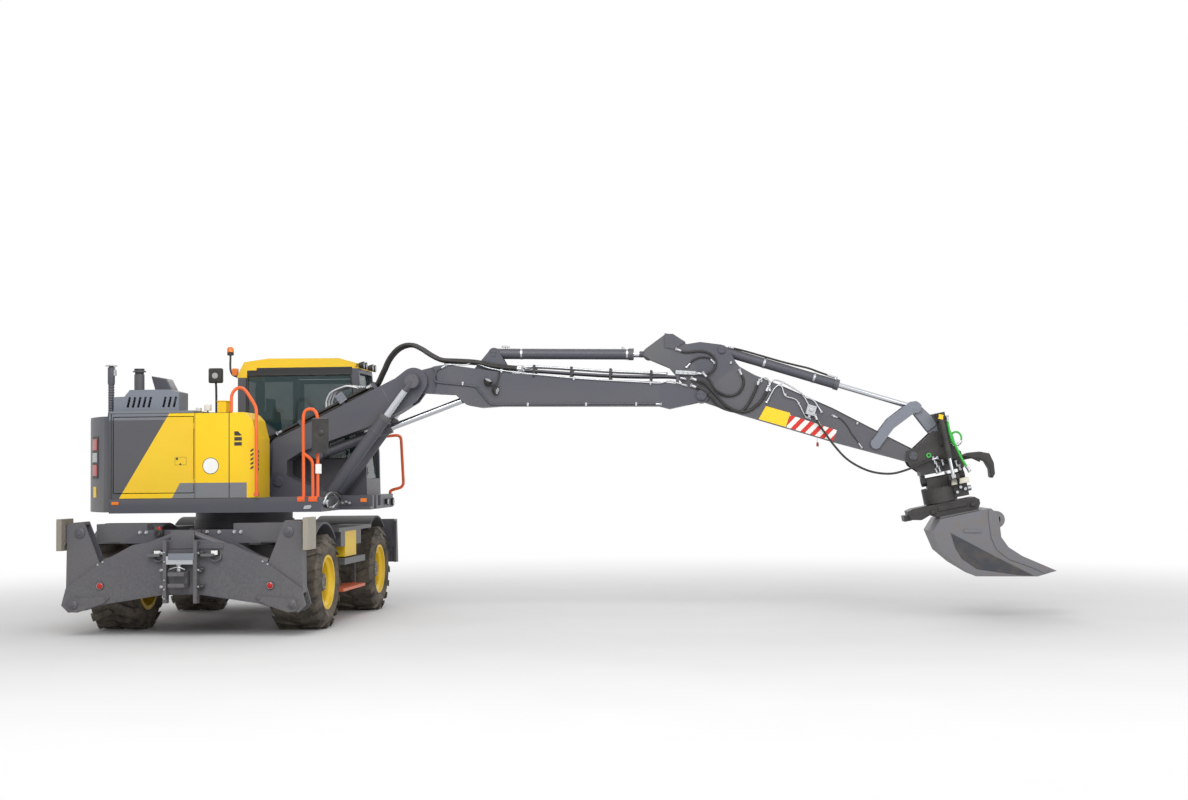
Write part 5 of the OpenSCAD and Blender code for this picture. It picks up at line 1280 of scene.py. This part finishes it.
@dataclass
class BoomLines:
    """Hoses over the knee and pipes along the main boom, with their clips and the work lamps."""

    hose: float = 17.0
    lift_foot: Flat = (1070.0, 1480.0)
    lift_side: float = 258.0
    gland_gap: float = 524.0
    pipe_side: float = -156.0
    gland_screws: float = 66.0

    @staticmethod
    def top(x: float) -> float:
        """Gives the height of the boom base's top plate at a place along it."""
        return 446.0 - (x - 234.0) * 281.0 / 1637.0

    def build(self) -> None:
        """Lays every line on the boom."""
        self.knee_hoses()
        self.base_hoses()
        self.base_items()
        self.side_pipes()
        self.top_pipes()
        self.work_lamps()

    def knee_hoses(self) -> None:
        """Arches the six hoses over the knee."""
        knee = [(1717, 2983), (1799, 3150), (1917, 3272), (2058, 3310), (2180, 3262), (2310, 3178), (2440, 3120)]
        for k in range(6):
            s, n = -1 if k < 3 else 1, k % 3
            wide, far = s * (28 + 37 * n), s * (101 + 31 * n)
            lift, rise = (0, 18, 4)[n] * (1 if s < 0 else 1.6), 20 if n == 1 else 0
            run = [base(x, wide, self.top(x) + 18) for x in (330, 800, 1250, 1560)]
            loop = [upper(x, wide + (far - wide) * i / 7, z + lift) for i, (x, z) in enumerate(knee)]
            tail = [main_boom(x, far, z + rise) for x, z in ((560, 268), (760, 262), (1000, 226), (1290, 212))]
            Line(f"knee_hose_{k + 1}", run + loop + tail, self.hose, Place.BASE, HOSE_RUBBER,
                 (Place.MAIN, base(1640, 0, 300), main_boom(420, 0, 300)), (False, True)).build()

    def base_hoses(self) -> None:
        """Lays the second layer of hoses on the boom base and brings them up from the deck."""
        for k, y in enumerate((-118, -80, -42, 42, 80, 118)):
            rise = (58, 64, 58)[k % 3]
            run = [base(x, y * 0.92, self.top(x) + rise) for x in (330, 700, 1100, 1560)]
            Line(f"base_hose_{k + 1}", run, self.hose, Place.BASE).build()
        for k, y in enumerate((-150, -110, 110, 150)):
            path = [upper(200 - 12 * (k % 2), y, 1545), upper(175, y, 1800), upper(215, y * 0.9, 2020),
                    base(190, y * 0.75, 520), base(330, y * 0.75, self.top(330) + 62)]
            Line(f"base_foot_hose_{k + 1}", path, self.hose, Place.UPPER, HOSE_RUBBER,
                 (Place.BASE, upper(200, 0, 1960), base(190, 0, 500)), (True, False)).build()

    def base_items(self) -> None:
        """Clamps the hoses on the boom base, bends pipes over them and fits the lift barrels' glands."""
        clamp = Form("base_hose_clamps")
        for x in (620, 1180, 1610):
            clamp.box(base, (x - 22, -136, self.top(x) + 78), (44, 272, 10))
            for y in (-136, 126):
                clamp.box(base, (x - 22, y, self.top(x) - 4), (44, 10, 88))
        clamp.finish(DARK_ENAMEL, Place.BASE, bevel=2)
        glands, ram = Form("lift_barrel_glands"), between(self.lift_foot, LAYOUT.knee)
        tip, way = math.dist(self.lift_foot, LAYOUT.knee) - self.gland_gap, step(ram, 1, 0, 0).normalized()
        for y in (-self.lift_side, self.lift_side):
            glands.ring(ram(tip - 52, y, 0), way, [(0, 72), (0, 80), (48, 80), (54, 74), (54, 50)], 36)
            glands.ring(ram(tip - 235, y, 0), way, [(0, 72), (0, 78), (26, 78), (26, 72)], 36)
            for c, s in circle(8):
                glands.hex(ram(tip, y, 0) + (way.cross(RIGHT) * c + RIGHT * s) * self.gland_screws * MM,
                           way, 13, 8)
        glands.finish(DARK_ENAMEL, Place.LIFT)
        for k, y in enumerate((-70, -25, 24)):
            path = [base(x + 22 * k, y, z - 14 * k) for x, z in ((980, 400), (1018, 452), (1109, 505), (1194, 500),
                                                                 (1271, 478), (1332, 455), (1414, 372))]
            Line(f"base_bridge_pipe_{k + 1}", path, 14, Place.BASE, ZINC_PLATE).build()
        side = Form("base_side_clamp").box(base, (1150, -172, 310), (105, 14, 120))
        for x in (1172, 1232):
            side.hex(base(x, -172, 350), RIGHT, 22, 10).hex(base(x, -172, 395), RIGHT, 22, 10)
        side.finish(LIGHT_ENAMEL, Place.BASE, bevel=2)
        Form("base_weld_seam").tube(row(base, -161, [(1669, 170), (1646, -30)]), 3, smooth=1).finish(
            LIGHT_ENAMEL, Place.BASE)

    def side_pipes(self) -> None:
        """Runs the two steel pipes along the main boom's right side."""
        bright = [(391, 226), (623, 232), (726, 258), (1032, 187), (1938, 132), (2732, 122), (2965, 120), (3085, 150),
                  (3270, 108)]
        loop = [(369, 204), (275, 140), (256, 55), (309, 4), (730, -23), (802, -77), (925, -205), (996, -229),
                (1305, -213), (2745, -139), (2978, -132)]
        Line("side_pipe_bright", row(main_boom, self.pipe_side, bright), 9, Place.MAIN, ZINC_PLATE).build()
        Line("side_pipe_painted", row(main_boom, self.pipe_side, loop), 11, Place.MAIN, DARK_ENAMEL).build()
        clips = Form("side_pipe_clips")
        for x, z in ((1060, 183), (1938, 132), (2860, 122), (600, 8), (1400, -208), (2100, -173), (2700, -141)):
            clips.box(main_boom, (x - 12, -144, z - 17), (24, -24, 34))
            clips.hex(main_boom(x, -167, z - 22), RIGHT, 13, 7)
        clips.finish(ZINC_PLATE, Place.MAIN, bevel=2)

    def top_pipes(self) -> None:
        """Runs the pipe bundle on top of the main boom and ends it in the valve block."""
        high = [(1290, 226), (1457, 250), (1900, 246), (2371, 236), (2726, 238), (2900, 236), (3030, 234)]
        low = [(1290, 190), (1436, 200), (1900, 190), (2374, 184), (2727, 190), (3093, 206), (3255, 188)]
        for s, hand in ((-1, "right"), (1, "left")):
            for n, (points, y, r, finish) in enumerate(((high, 112, 13, ZINC_PLATE), (low, 104, 17, BLACK_PLASTIC),
                                                        (low, 140, 13, DARK_ENAMEL))):
                Line(f"top_pipe_{hand}_{n + 1}", row(main_boom, s * y, points), r, Place.MAIN, finish,
                     ends=(True, s < 0)).build()
        racks = Form("top_pipe_racks")
        for x in (1450, 1900, 2371, 2860):
            for s in (-1, 1):
                racks.box(main_boom, (x - 14, s * 122 - 36, 120), (28, 72, 150))
        racks.finish(BLACK_CASTING, Place.MAIN, bevel=3)
        block = Form("boom_valve_block").box(main_boom, (3152, -168, 236), (240, 60, 46))
        for x in (3180, 3240, 3300, 3360):
            block.hex(main_boom(x, -168, 262), RIGHT, 24, 14)
        block.finish(ZINC_PLATE, Place.MAIN, bevel=3)
        Form("boom_valve_bracket").box(main_boom, (3160, -150, 90), (40, 14, 160)).finish(
            DARK_ENAMEL, Place.MAIN, bevel=2)

    def work_lamps(self) -> None:
        """Hangs the two work lamps on their bracket at the main boom's side."""
        bracket = Form("boom_lamp_bracket").tube([main_boom(1033, -152, 176), main_boom(1030, -176, 110),
                                                  main_boom(1000, -186, 20), main_boom(880, -186, -4)], 9)
        bracket.tube(row(main_boom, -186, [(1000, 20), (1024, -90)]), 9, smooth=1).finish(BLACK_CASTING, Place.MAIN)
        shells, lenses = Form("boom_lamp_shells"), Form("boom_lamp_lenses")
        for (x, z), (dx, dz) in (((905, 44), (0.4, 0.9)), ((1012, -62), (1.0, -0.25))):
            way = step(main_boom, dx, -0.35, dz).normalized()
            spot = main_boom(x, -190, z)
            shells.ring(spot - way * 0.05, way, [(0, 0), (0, 24), (30, 46), (62, 50), (70, 50), (70, 44)], 28)
            lenses.ring(spot + way * 0.012, way, [(0, 0), (0, 44), (8, 40), (12, 0)], 28)
        shells.finish(BLACK_PLASTIC, Place.MAIN)
        lenses.finish(CLEAR_LENS, Place.MAIN)


@dataclass
class ArmLines:
    """Hoses round the elbow, pipes and signs on the arm, and the hose down to the tiltrotator."""

    side: float = -110.0

    def build(self) -> None:
        """Lays every line and sign on the arm."""
        ring = [(-107, -150, 238), (-2, -152, 261), (55, -140, 328), (61, -130, 419), (11, -126, 481), (-74, -126, 510),
                (-172, -126, 499), (-330, -128, 440), (-423, -124, 446)]
        Line("elbow_ring_hose", [arm(*p) for p in ring], 13, Place.MAIN, HOSE_RUBBER,
             (Place.ARM, arm(-60, 0, 220), arm(-100, 0, 480))).build()
        inner = [(-252, 291), (-211, 372), (-128, 435), (-31, 450), (25, 424)]
        Line("elbow_inner_hose", row(arm, -124, inner), 10, Place.ARM).build()
        bend = (Place.ARM, arm(-120, 0, 40), arm(420, 0, 40))
        for name, radius, points in (
                ("elbow_hose_long", 17, [(-150, -160, 158), (7, -168, 143), (178, -164, 36), (343, -148, -50),
                                         (473, -134, -66), (587, -130, -27), (672, -130, 74), (718, -130, 177),
                                         (739, -126, 302)]),
                ("elbow_hose_second", 15, [(-130, -166, 76), (9, -172, 58), (126, -166, 0), (235, -150, -72),
                                           (400, -134, -84), (520, -130, -40), (575, -128, 86), (601, -128, 231),
                                           (614, -128, 345)]),
                ("elbow_hose_short", 14, [(-40, -170, 248), (40, -176, 200), (146, -160, 104), (291, -136, 78),
                                          (393, -128, 120), (443, -128, 211), (433, -128, 310), (363, -126, 400)])):
            Line(name, [arm(*p) for p in points], radius, Place.MAIN, HOSE_RUBBER, bend).build()
        self.pipes()
        self.signs()
        self.cylinder_lines()
        hang = [(1372, -150, 130), (1420, -158, 70), (1502, -170, -5), (1664, -190, -134), (1849, -212, -250),
                (2040, -222, -306), (2218, -226, -316), (2406, -226, -276), (2556, -222, -190), (2696, -205, -80),
                (2800, -185, 0), (2861, -176, 43)]
        Line("tiltrotator_feed_hose", [arm(*p) for p in hang], 13, Place.ARM, HOSE_RUBBER,
             (Place.COUPLER, arm(2150, 0, -200), arm(2720, 0, -40))).build()
        thin = [(1583, 196), (1674, 182), (1767, 123), (1837, 55), (1899, 10), (1984, -60)]
        Line("sensor_cable", row(arm, -117, thin), 6, Place.ARM).build()

    def pipes(self) -> None:
        """Runs the steel pipes and their valve on the arm's right side."""
        for k, points in enumerate((
                [(739, 312), (766, 398), (860, 420), (1094, 366), (1169, 326), (1257, 241), (1282, 212)],
                [(775, 155), (821, 335), (888, 364), (960, 269), (1085, 262), (1153, 211), (1262, 95), (1300, 92)],
                [(614, 352), (649, 404), (715, 398), (760, 300)],
                [(1195, 322), (1298, 308), (1364, 256), (1412, 214)])):
            Line(f"arm_pipe_{k + 1}", row(arm, self.side - 16, points), 9, Place.ARM, ZINC_PLATE).build()
        y = self.side
        valve = Form("arm_valve").box(arm, (1245, y, 128), (110, -70, 118))
        valve.hex(arm(1300, y - 70, 190), RIGHT, 46, 22)
        for x, z in ((1262, 150), (1338, 150), (1262, 232), (1338, 232)):
            valve.hex(arm(x, y - 70, z), RIGHT, 14, 8)
        valve.rod(arm(1300, y - 35, 128), arm(1300, y - 35, 96), 20).finish(ZINC_PLATE, Place.ARM, bevel=4)
        Form("arm_valve_outlet").tube([arm(1355, y - 35, 150), arm(1380, y - 36, 120), arm(1466, -150, 36)], 13).finish(
            ZINC_PLATE, Place.ARM)
        clips = Form("arm_pipe_clips")
        for x, z in ((880, 398), (1020, 384), (960, 280), (1140, 226), (1583, 196), (230, 470), (640, 360),
                     (1870, 190)):
            clips.box(arm, (x - 11, y + 1, z - 15), (22, -26, 30))
        clips.finish(ZINC_PLATE, Place.ARM, bevel=2)
        strips, top = Form("arm_top_strip"), [(858, 376), (1536, 284), (2290, 133), (2560, 82)]
        for (xa, za), (xb, zb) in zip(top, top[1:]):
            strips.plate(row(arm, -112, [(xa, za + 2), (xb, zb + 2), (xb, zb - 12), (xa, za - 12)]), RIGHT * 0.002)
        strips.finish(BLACK_PLASTIC, Place.ARM)
        cover = row(arm, y, [(-631, 592), (-540, 606), (-372, 565), (-386, 530), (-471, 434), (-583, 427)])
        Form("arm_cylinder_cover").plate(cover, RIGHT * 0.014).finish(DARK_ENAMEL, Place.ARM, bevel=3)

    def signs(self) -> None:
        """Fixes the blank yellow plate, the striped board and the red tag."""
        for name, finish, thick, corners in (
                ("blank_yellow_plate", YELLOW_FILM, 2.5, [(735, -86), (775, 88), (1075, 88), (1070, -86)]),
                ("striped_board", WARNING_FILM, 3.0, [(1079, -88), (1079, 66), (1662, 44), (1652, -92)])):
            Form(name).plate(row(arm, self.side, corners), RIGHT * thick * MM).finish(finish, Place.ARM)
        Form("red_tag_cord").rod(arm(1461, -60, -96), arm(1484, -60, -160), 2, sides=8).finish(BLACK_PLASTIC, Place.ARM)
        Form("red_tag").rod(arm(1484, -60, -156), arm(1500, -60, -205), 15, chamfer=0.4).finish(RED_LENS, Place.ARM)

    def cylinder_lines(self) -> None:
        """Runs the hoses along the bucket cylinder and fits the ports of the arm cylinder."""
        at, turn = LAYOUT.elbow, LAYOUT.arm_angle
        axes = between(LAYOUT.seen(at, turn, (83, 588)), LAYOUT.seen(at, turn, (2478, 565)))
        path = [(110, 66), (300, 74), (700, 76), (900, 84), (1060, 92), (1180, 84), (1300, 78)]
        hoses, ports = Form("bucket_cylinder_hose"), Form("bucket_cylinder_ports")
        for y in (-28, 8):
            hoses.tube(row(axes, y, path), 11)
            ports.rod(axes(1290, y, 78), axes(1420, y, 76), 12).rod(axes(1400, y, 50), axes(1400, y, 92), 20)
            ports.rod(axes(60, y, 62), axes(130, y, 66), 14)
        for x in (520, 1140, 1412):
            ports.ring(axes(x, 0, 0), step(axes, 1, 0, 0), [(0, 59.5), (0, 64), (26, 64), (26, 59.5)], 40)
        hoses.finish(HOSE_RUBBER, Place.BUCKET_BARREL)
        ports.finish(ZINC_PLATE, Place.BUCKET_BARREL)
        ram = between(LAYOUT.seen(LAYOUT.knee, LAYOUT.main_angle, (946, 390)), LAYOUT.seen(at, turn, (-743, 304)))
        ports = Form("arm_cylinder_ports").rod(ram(150, -30, 55), ram(150, -30, 96), 16)
        ports.rod(ram(90, -30, 88), ram(190, -30, 88), 13).rod(ram(1560, 20, 55), ram(1560, 20, 92), 16)
        for x in (320, 1600):
            ports.ring(ram(x, 0, 0), step(ram, 1, 0, 0), [(0, 65.5), (0, 70), (24, 70), (24, 65.5)], 40)
        ports.finish(ZINC_PLATE, Place.ARM_BARREL)


@dataclass
class Tiltrotator:
    """Green hoses, hose guard, cover box, label and fittings of the tiltrotator."""

    post: float = -298.0

    def build(self) -> None:
        """Dresses the tiltrotator."""
        label = row(upper, self.post, [(8352, 2340), (8405, 2330), (8413, 2384), (8360, 2394)])
        Form("tilt_post_label").plate(label, RIGHT * 0.002).finish(YELLOW_FILM, Place.COUPLER)
        for k, y in enumerate((-262, -236)):
            path = [(8462, 2350), (8477, 2240), (8500 + 20 * k, 2130), (8554, 2018), (8618, 1880), (8668, 1790),
                    (8700, 1740)]
            Line(f"green_hose_{k + 1}", row(upper, y, path), 13, Place.COUPLER, GREEN_RUBBER,
                 (Place.ROTOR, upper(8540, 0, 2040), upper(8690, 0, 1760))).build()
        loop = [upper(8570 + 62 * math.cos(t), -200 + 8 * t, 2112 + 74 * math.sin(t))
                for t in (math.radians(a) for a in range(-60, 320, 24))]
        Line("green_loop", loop, 12, Place.COUPLER, GREEN_RUBBER).build()
        Form("green_pin_plug").ring(upper(8254, -150, 1912), RIGHT, [(0, 14), (0, 30), (5, 30), (5, 14), (0, 14)],
                                    32).finish(GREEN_RUBBER, Place.COUPLER)
        Form("valve_cover_box").box(tool, (345, -205, -428), (230, 85, 62)).finish(CREAM_COVER, Place.ROTOR, bevel=6)
        outline = [(8640, 1905), (8731, 1940), (8860, 1952), (8974, 1930), (9024, 1820), (9036, 1690), (9008, 1636),
                   (8984, 1650), (8975, 1745), (8925, 1835), (8840, 1872), (8740, 1868), (8650, 1850)]
        Form("hose_guard").plate(row(upper, -95, outline), RIGHT * -0.19).finish(BLACK_PLASTIC, Place.COUPLER, bevel=8)
        struts = Form("hose_guard_strut")
        for y in (-60, 60):
            struts.tube([tool(520, y, -190), tool(600, y, -120), upper(8700, y, 1880)], 16)
        struts.finish(BLACK_CASTING, Place.COUPLER)
        self.fittings()
        self.rotor_items()

    def fittings(self) -> None:
        """Fits the swivel's unions and the coupler's hose tails."""
        bits, way = Form("swivel_fittings"), step(upper, 30, 0, -100)
        for x, y, z, drop in ((8300, -165, 1900, 90), (8330, -170, 1840, 70), (8360, -165, 1790, 80),
                              (8400, -170, 1860, 60), (8560, -170, 1850, 70), (8600, -160, 1800, 60),
                              (8330, -150, 1760, 60)):
            bits.rod(upper(x, y, z), upper(x + drop * 0.3, y - 6, z - drop), 11).hex(upper(x, y, z), way, 32, 22)
            bits.hex(upper(x + drop * 0.25, y - 5, z - drop * 0.8), way, 30, 20)
        bits.finish(ZINC_PLATE, Place.COUPLER)
        tails = Form("coupler_hose_tails")
        for k, y in enumerate((-160, -172)):
            tails.tube([arm(2861, y, 43), upper(8330, y - 4, 1905 - 30 * k), upper(8420, y, 1880 - 40 * k),
                        upper(8520, y + 20, 1830)], 12)
        tails.tube([upper(8560, -150, 1830), upper(8640, -150, 1900), upper(8740, -120, 1890),
                    upper(8860, -80, 1840)], 13)
        tails.finish(HOSE_RUBBER, Place.COUPLER)

    def rotor_items(self) -> None:
        """Fits the rotor's drive unions, its flange screws and the quick hitch's lock."""
        drive = Form("rotor_drive_fittings")
        for x, y, z in ((470, -112, -470), (520, -112, -500), (420, -112, -520)):
            drive.rod(tool(x, y, z), tool(x, y - 34, z), 15).hex(tool(x, y - 20, z), RIGHT, 36, 16)
        drive.rod(tool(545, -60, -500), tool(600, -60, -500), 34).finish(ZINC_PLATE, Place.ROTOR)
        screws = Form("rotor_flange_screws")
        for c, s in circle(24):
            screws.hex(tool(225 + 188 * c, 188 * s, -425), step(tool, 0, 0, 1), 18, 9)
        screws.finish(BLACK_CASTING, Place.ROTOR)
        lock = Form("quick_hitch_lock")
        for x in (560, 90):
            lock.rod(tool(x, -168, -690), tool(x, -196, -690), 30)
        lock.box(tool, (150, -182, -700), (350, 12, 60)).box(tool, (-255, -130, -745), (90, 260, 70))
        lock.finish(BLACK_CASTING, Place.TOOL, bevel=4)


@dataclass
class Bucket:
    """Wear plates, ledges and bars on the bucket."""

    half: float = 400.0

    def build(self) -> None:
        """Dresses the bucket."""
        ledge = [(723, -772), (790, -860), (768, -1117), (824, -1248), (960, -1381), (1240, -1575), (1180, -1632),
                 (1020, -1520), (800, -1388), (684, -1252), (652, -1100), (668, -890), (690, -772)]
        wear = [(208, -960), (222, -1130), (272, -1276), (420, -1430), (880, -1590), (1040, -1628), (660, -1330)]
        bar = [(362, -950), (556, -993), (550, -1026), (356, -983)]
        for name, outline, thick, finish, bevel in (("side_cutters", ledge, 12, DIGGING_STEEL, 3),
                                                    ("side_wear_plates", wear, 6, WEAR_STEEL, 2),
                                                    ("side_bars", bar, 14, DIGGING_STEEL, 4)):
            form = Form(name)
            for s in (-1, 1):
                form.plate(row(tool, s * self.half, outline), Vector((0, s * thick * MM, 0)))
            form.finish(finish, Place.TOOL, bevel=bevel)


@dataclass
class PinCaps:
    """Retaining caps with their screws on the ends of the boom's pins."""

    screws: int = 3
    screw_circle: float = 0.58

    def build(self) -> None:
        """Caps every pin that shows."""
        for name, axes, (x, y, z), place, radius in (
                ("foot", upper, (472, 215, 1675), Place.UPPER, 60), ("knee", base, (2027, 205, 0), Place.BASE, 66),
                ("elbow", main_boom, (3473, 170, 0), Place.MAIN, 62),
                ("arm_ram", main_boom, (946, 86, 390), Place.MAIN, 46),
                ("bucket_ram", arm, (83, 120, 588), Place.ARM, 46), ("wrist", arm, (2605, 150, 0), Place.COUPLER, 52)):
            form = Form(f"pin_caps_{name}")
            for side in (-1, 1):
                at, way = axes(x, side * y, z), Vector((0, side, 0))
                form.ring(at, way, [(-3, 0), (-3, radius), (8, radius), (12, radius - 4), (12, 0)], 36)
                for c, s in circle(self.screws, 0.24):
                    form.hex(at + Vector((c, 0, s)) * (radius * self.screw_circle * MM) + way * 0.012, way, 17, 9)
            form.finish(DARK_ENAMEL, place)


@dataclass
class Studio:
    """The pale floor, the soft lights and the camera."""

    position: Point = (5482.0, -20149.0, 1771.0)
    yaw: float = -0.0594
    pitch: float = 0.0422
    roll: float = -0.0099
    focal_pixels: float = 1672.33
    floor_half: float = 40.0

    def camera(self) -> None:
        """Places the camera at the photograph's viewing angle."""
        data = bpy.data.cameras.new("camera")
        data.sensor_fit = "HORIZONTAL"
        data.sensor_width = SENSOR_WIDTH
        data.lens = self.focal_pixels / IMAGE_WIDTH * SENSOR_WIDTH
        data.clip_end = 300.0
        camera = bpy.data.objects.new("camera", data)
        bpy.context.scene.collection.objects.link(camera)
        ahead = Vector((math.sin(self.yaw), math.cos(self.yaw), 0.0))
        right = Vector((math.cos(self.yaw), -math.sin(self.yaw), 0.0))
        look = ahead * math.cos(self.pitch) + UP * math.sin(self.pitch)
        tilted = UP * math.cos(self.pitch) - ahead * math.sin(self.pitch)
        x = right * math.cos(self.roll) + tilted * math.sin(self.roll)
        y = tilted * math.cos(self.roll) - right * math.sin(self.roll)
        turn = Matrix((x, y, -look)).transposed().to_4x4()
        camera.matrix_world = Matrix.Translation(upper(*self.position)) @ turn
        bpy.context.scene.camera = camera

    def floor(self) -> None:
        """Lays a pale floor that keeps the machine's shadow."""
        h, deep = self.floor_half, 0.02
        floor = Form("studio_floor").plate([Vector((x, y, -deep)) for x, y in ((-h, -h), (h, -h), (h, h), (-h, h))],
                                           UP * deep).made()
        material = bpy.data.materials.new("pale_studio_floor")
        tree = fresh_tree(material)
        spot = add_node(tree, "TexCoord").outputs["Object"]
        mottle = add_node(tree, "TexNoise", {"Scale": 0.7, "Detail": 4.0, "Vector": spot}).outputs["Fac"]
        tone = add_node(tree, "MapRange", {"To Min": 0.62, "To Max": 0.68, "Value": mottle}).outputs[0]
        grey = add_node(tree, "CombineColor", {0: tone, 1: tone, 2: tone}).outputs[0]
        matt = add_node(tree, "BsdfPrincipled", {"Roughness": 0.9, "Base Color": grey}).outputs[0]
        # The paper sweep glows white far from the machine, so no horizon shows
        reach = add_node(tree, "VectorMath", {"operation": "LENGTH", 0: spot}).outputs["Value"]
        fade = add_node(tree, "MapRange", {"interpolation_type": "SMOOTHSTEP", "From Min": 4.5, "From Max": 15.0,
                                           "Value": reach}).outputs[0]
        glow = add_node(tree, "Emission", {"Color": (1.0, 1.0, 1.0, 1.0), "Strength": 1.0}).outputs[0]
        shader = add_node(tree, "MixShader", {0: fade, 1: matt, 2: glow})
        add_node(tree, "OutputMaterial", {"Surface": shader.outputs[0]})
        floor.data.materials.append(material)

    def lights(self) -> None:
        """Hangs three soft lamps and lights the world evenly."""
        for name, place, aim, size, power in (
                ("key_softbox", (-2.0, -13.0, 11.0), (0.0, 0.0, 1.5), 9.0, 1500.0),
                ("fill_softbox", (11.0, -11.0, 7.0), (1.0, 0.0, 1.5), 9.0, 700.0),
                ("back_softbox", (0.0, 11.0, 10.0), (0.0, 0.0, 1.5), 9.0, 600.0)):
            data = bpy.data.lights.new(name, "AREA")
            data.shape = "SQUARE"
            data.size = size
            data.energy = power
            lamp = bpy.data.objects.new(name, data)
            lamp.location = place
            lamp.rotation_euler = (Vector(aim) - Vector(place)).to_track_quat("-Z", "Y").to_euler()
            bpy.context.scene.collection.objects.link(lamp)
        world = bpy.data.worlds.new("studio_world")
        bpy.context.scene.world = world
        tree = fresh_tree(world)
        rays = add_node(tree, "LightPath").outputs
        seen = add_node(tree, "Math", {"operation": "MAXIMUM", 0: rays["Is Camera Ray"], 1: rays["Is Glossy Ray"]})
        shown = add_node(tree, "Math", {"operation": "MAXIMUM", 0: seen.outputs[0], 1: rays["Is Transmission Ray"]})
        level = add_node(tree, "MapRange", {"To Min": 0.55, "To Max": 1.0, "Value": shown.outputs[0]})
        sky = add_node(tree, "Background", {"Color": (1.0, 1.0, 1.0, 1.0), "Strength": level.outputs[0]})
        add_node(tree, "OutputWorld", {"Surface": sky.outputs[0]})

    def build(self) -> None:
        """Sets up the whole studio."""
        self.camera()
        self.floor()
        self.lights()
        bpy.context.scene.view_settings.view_transform = "Standard"


def main() -> None:
    """Builds the looks in order."""
    logging.basicConfig(level=logging.INFO, format="%(name)s: %(message)s")
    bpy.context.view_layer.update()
    for title, work in (("studio", Studio().build), ("steelwork", Steelwork().dress), ("wheels", Wheels().build),
                        ("rear beam", RearBeam().build), ("upper", UpperBody().build), ("cab", Cab().build),
                        ("boom lines", BoomLines().build), ("arm lines", ArmLines().build),
                        ("tiltrotator", Tiltrotator().build), ("bucket", Bucket().build), ("pins", PinCaps().build)):
        work()


if __name__ == "__main__":
    main()
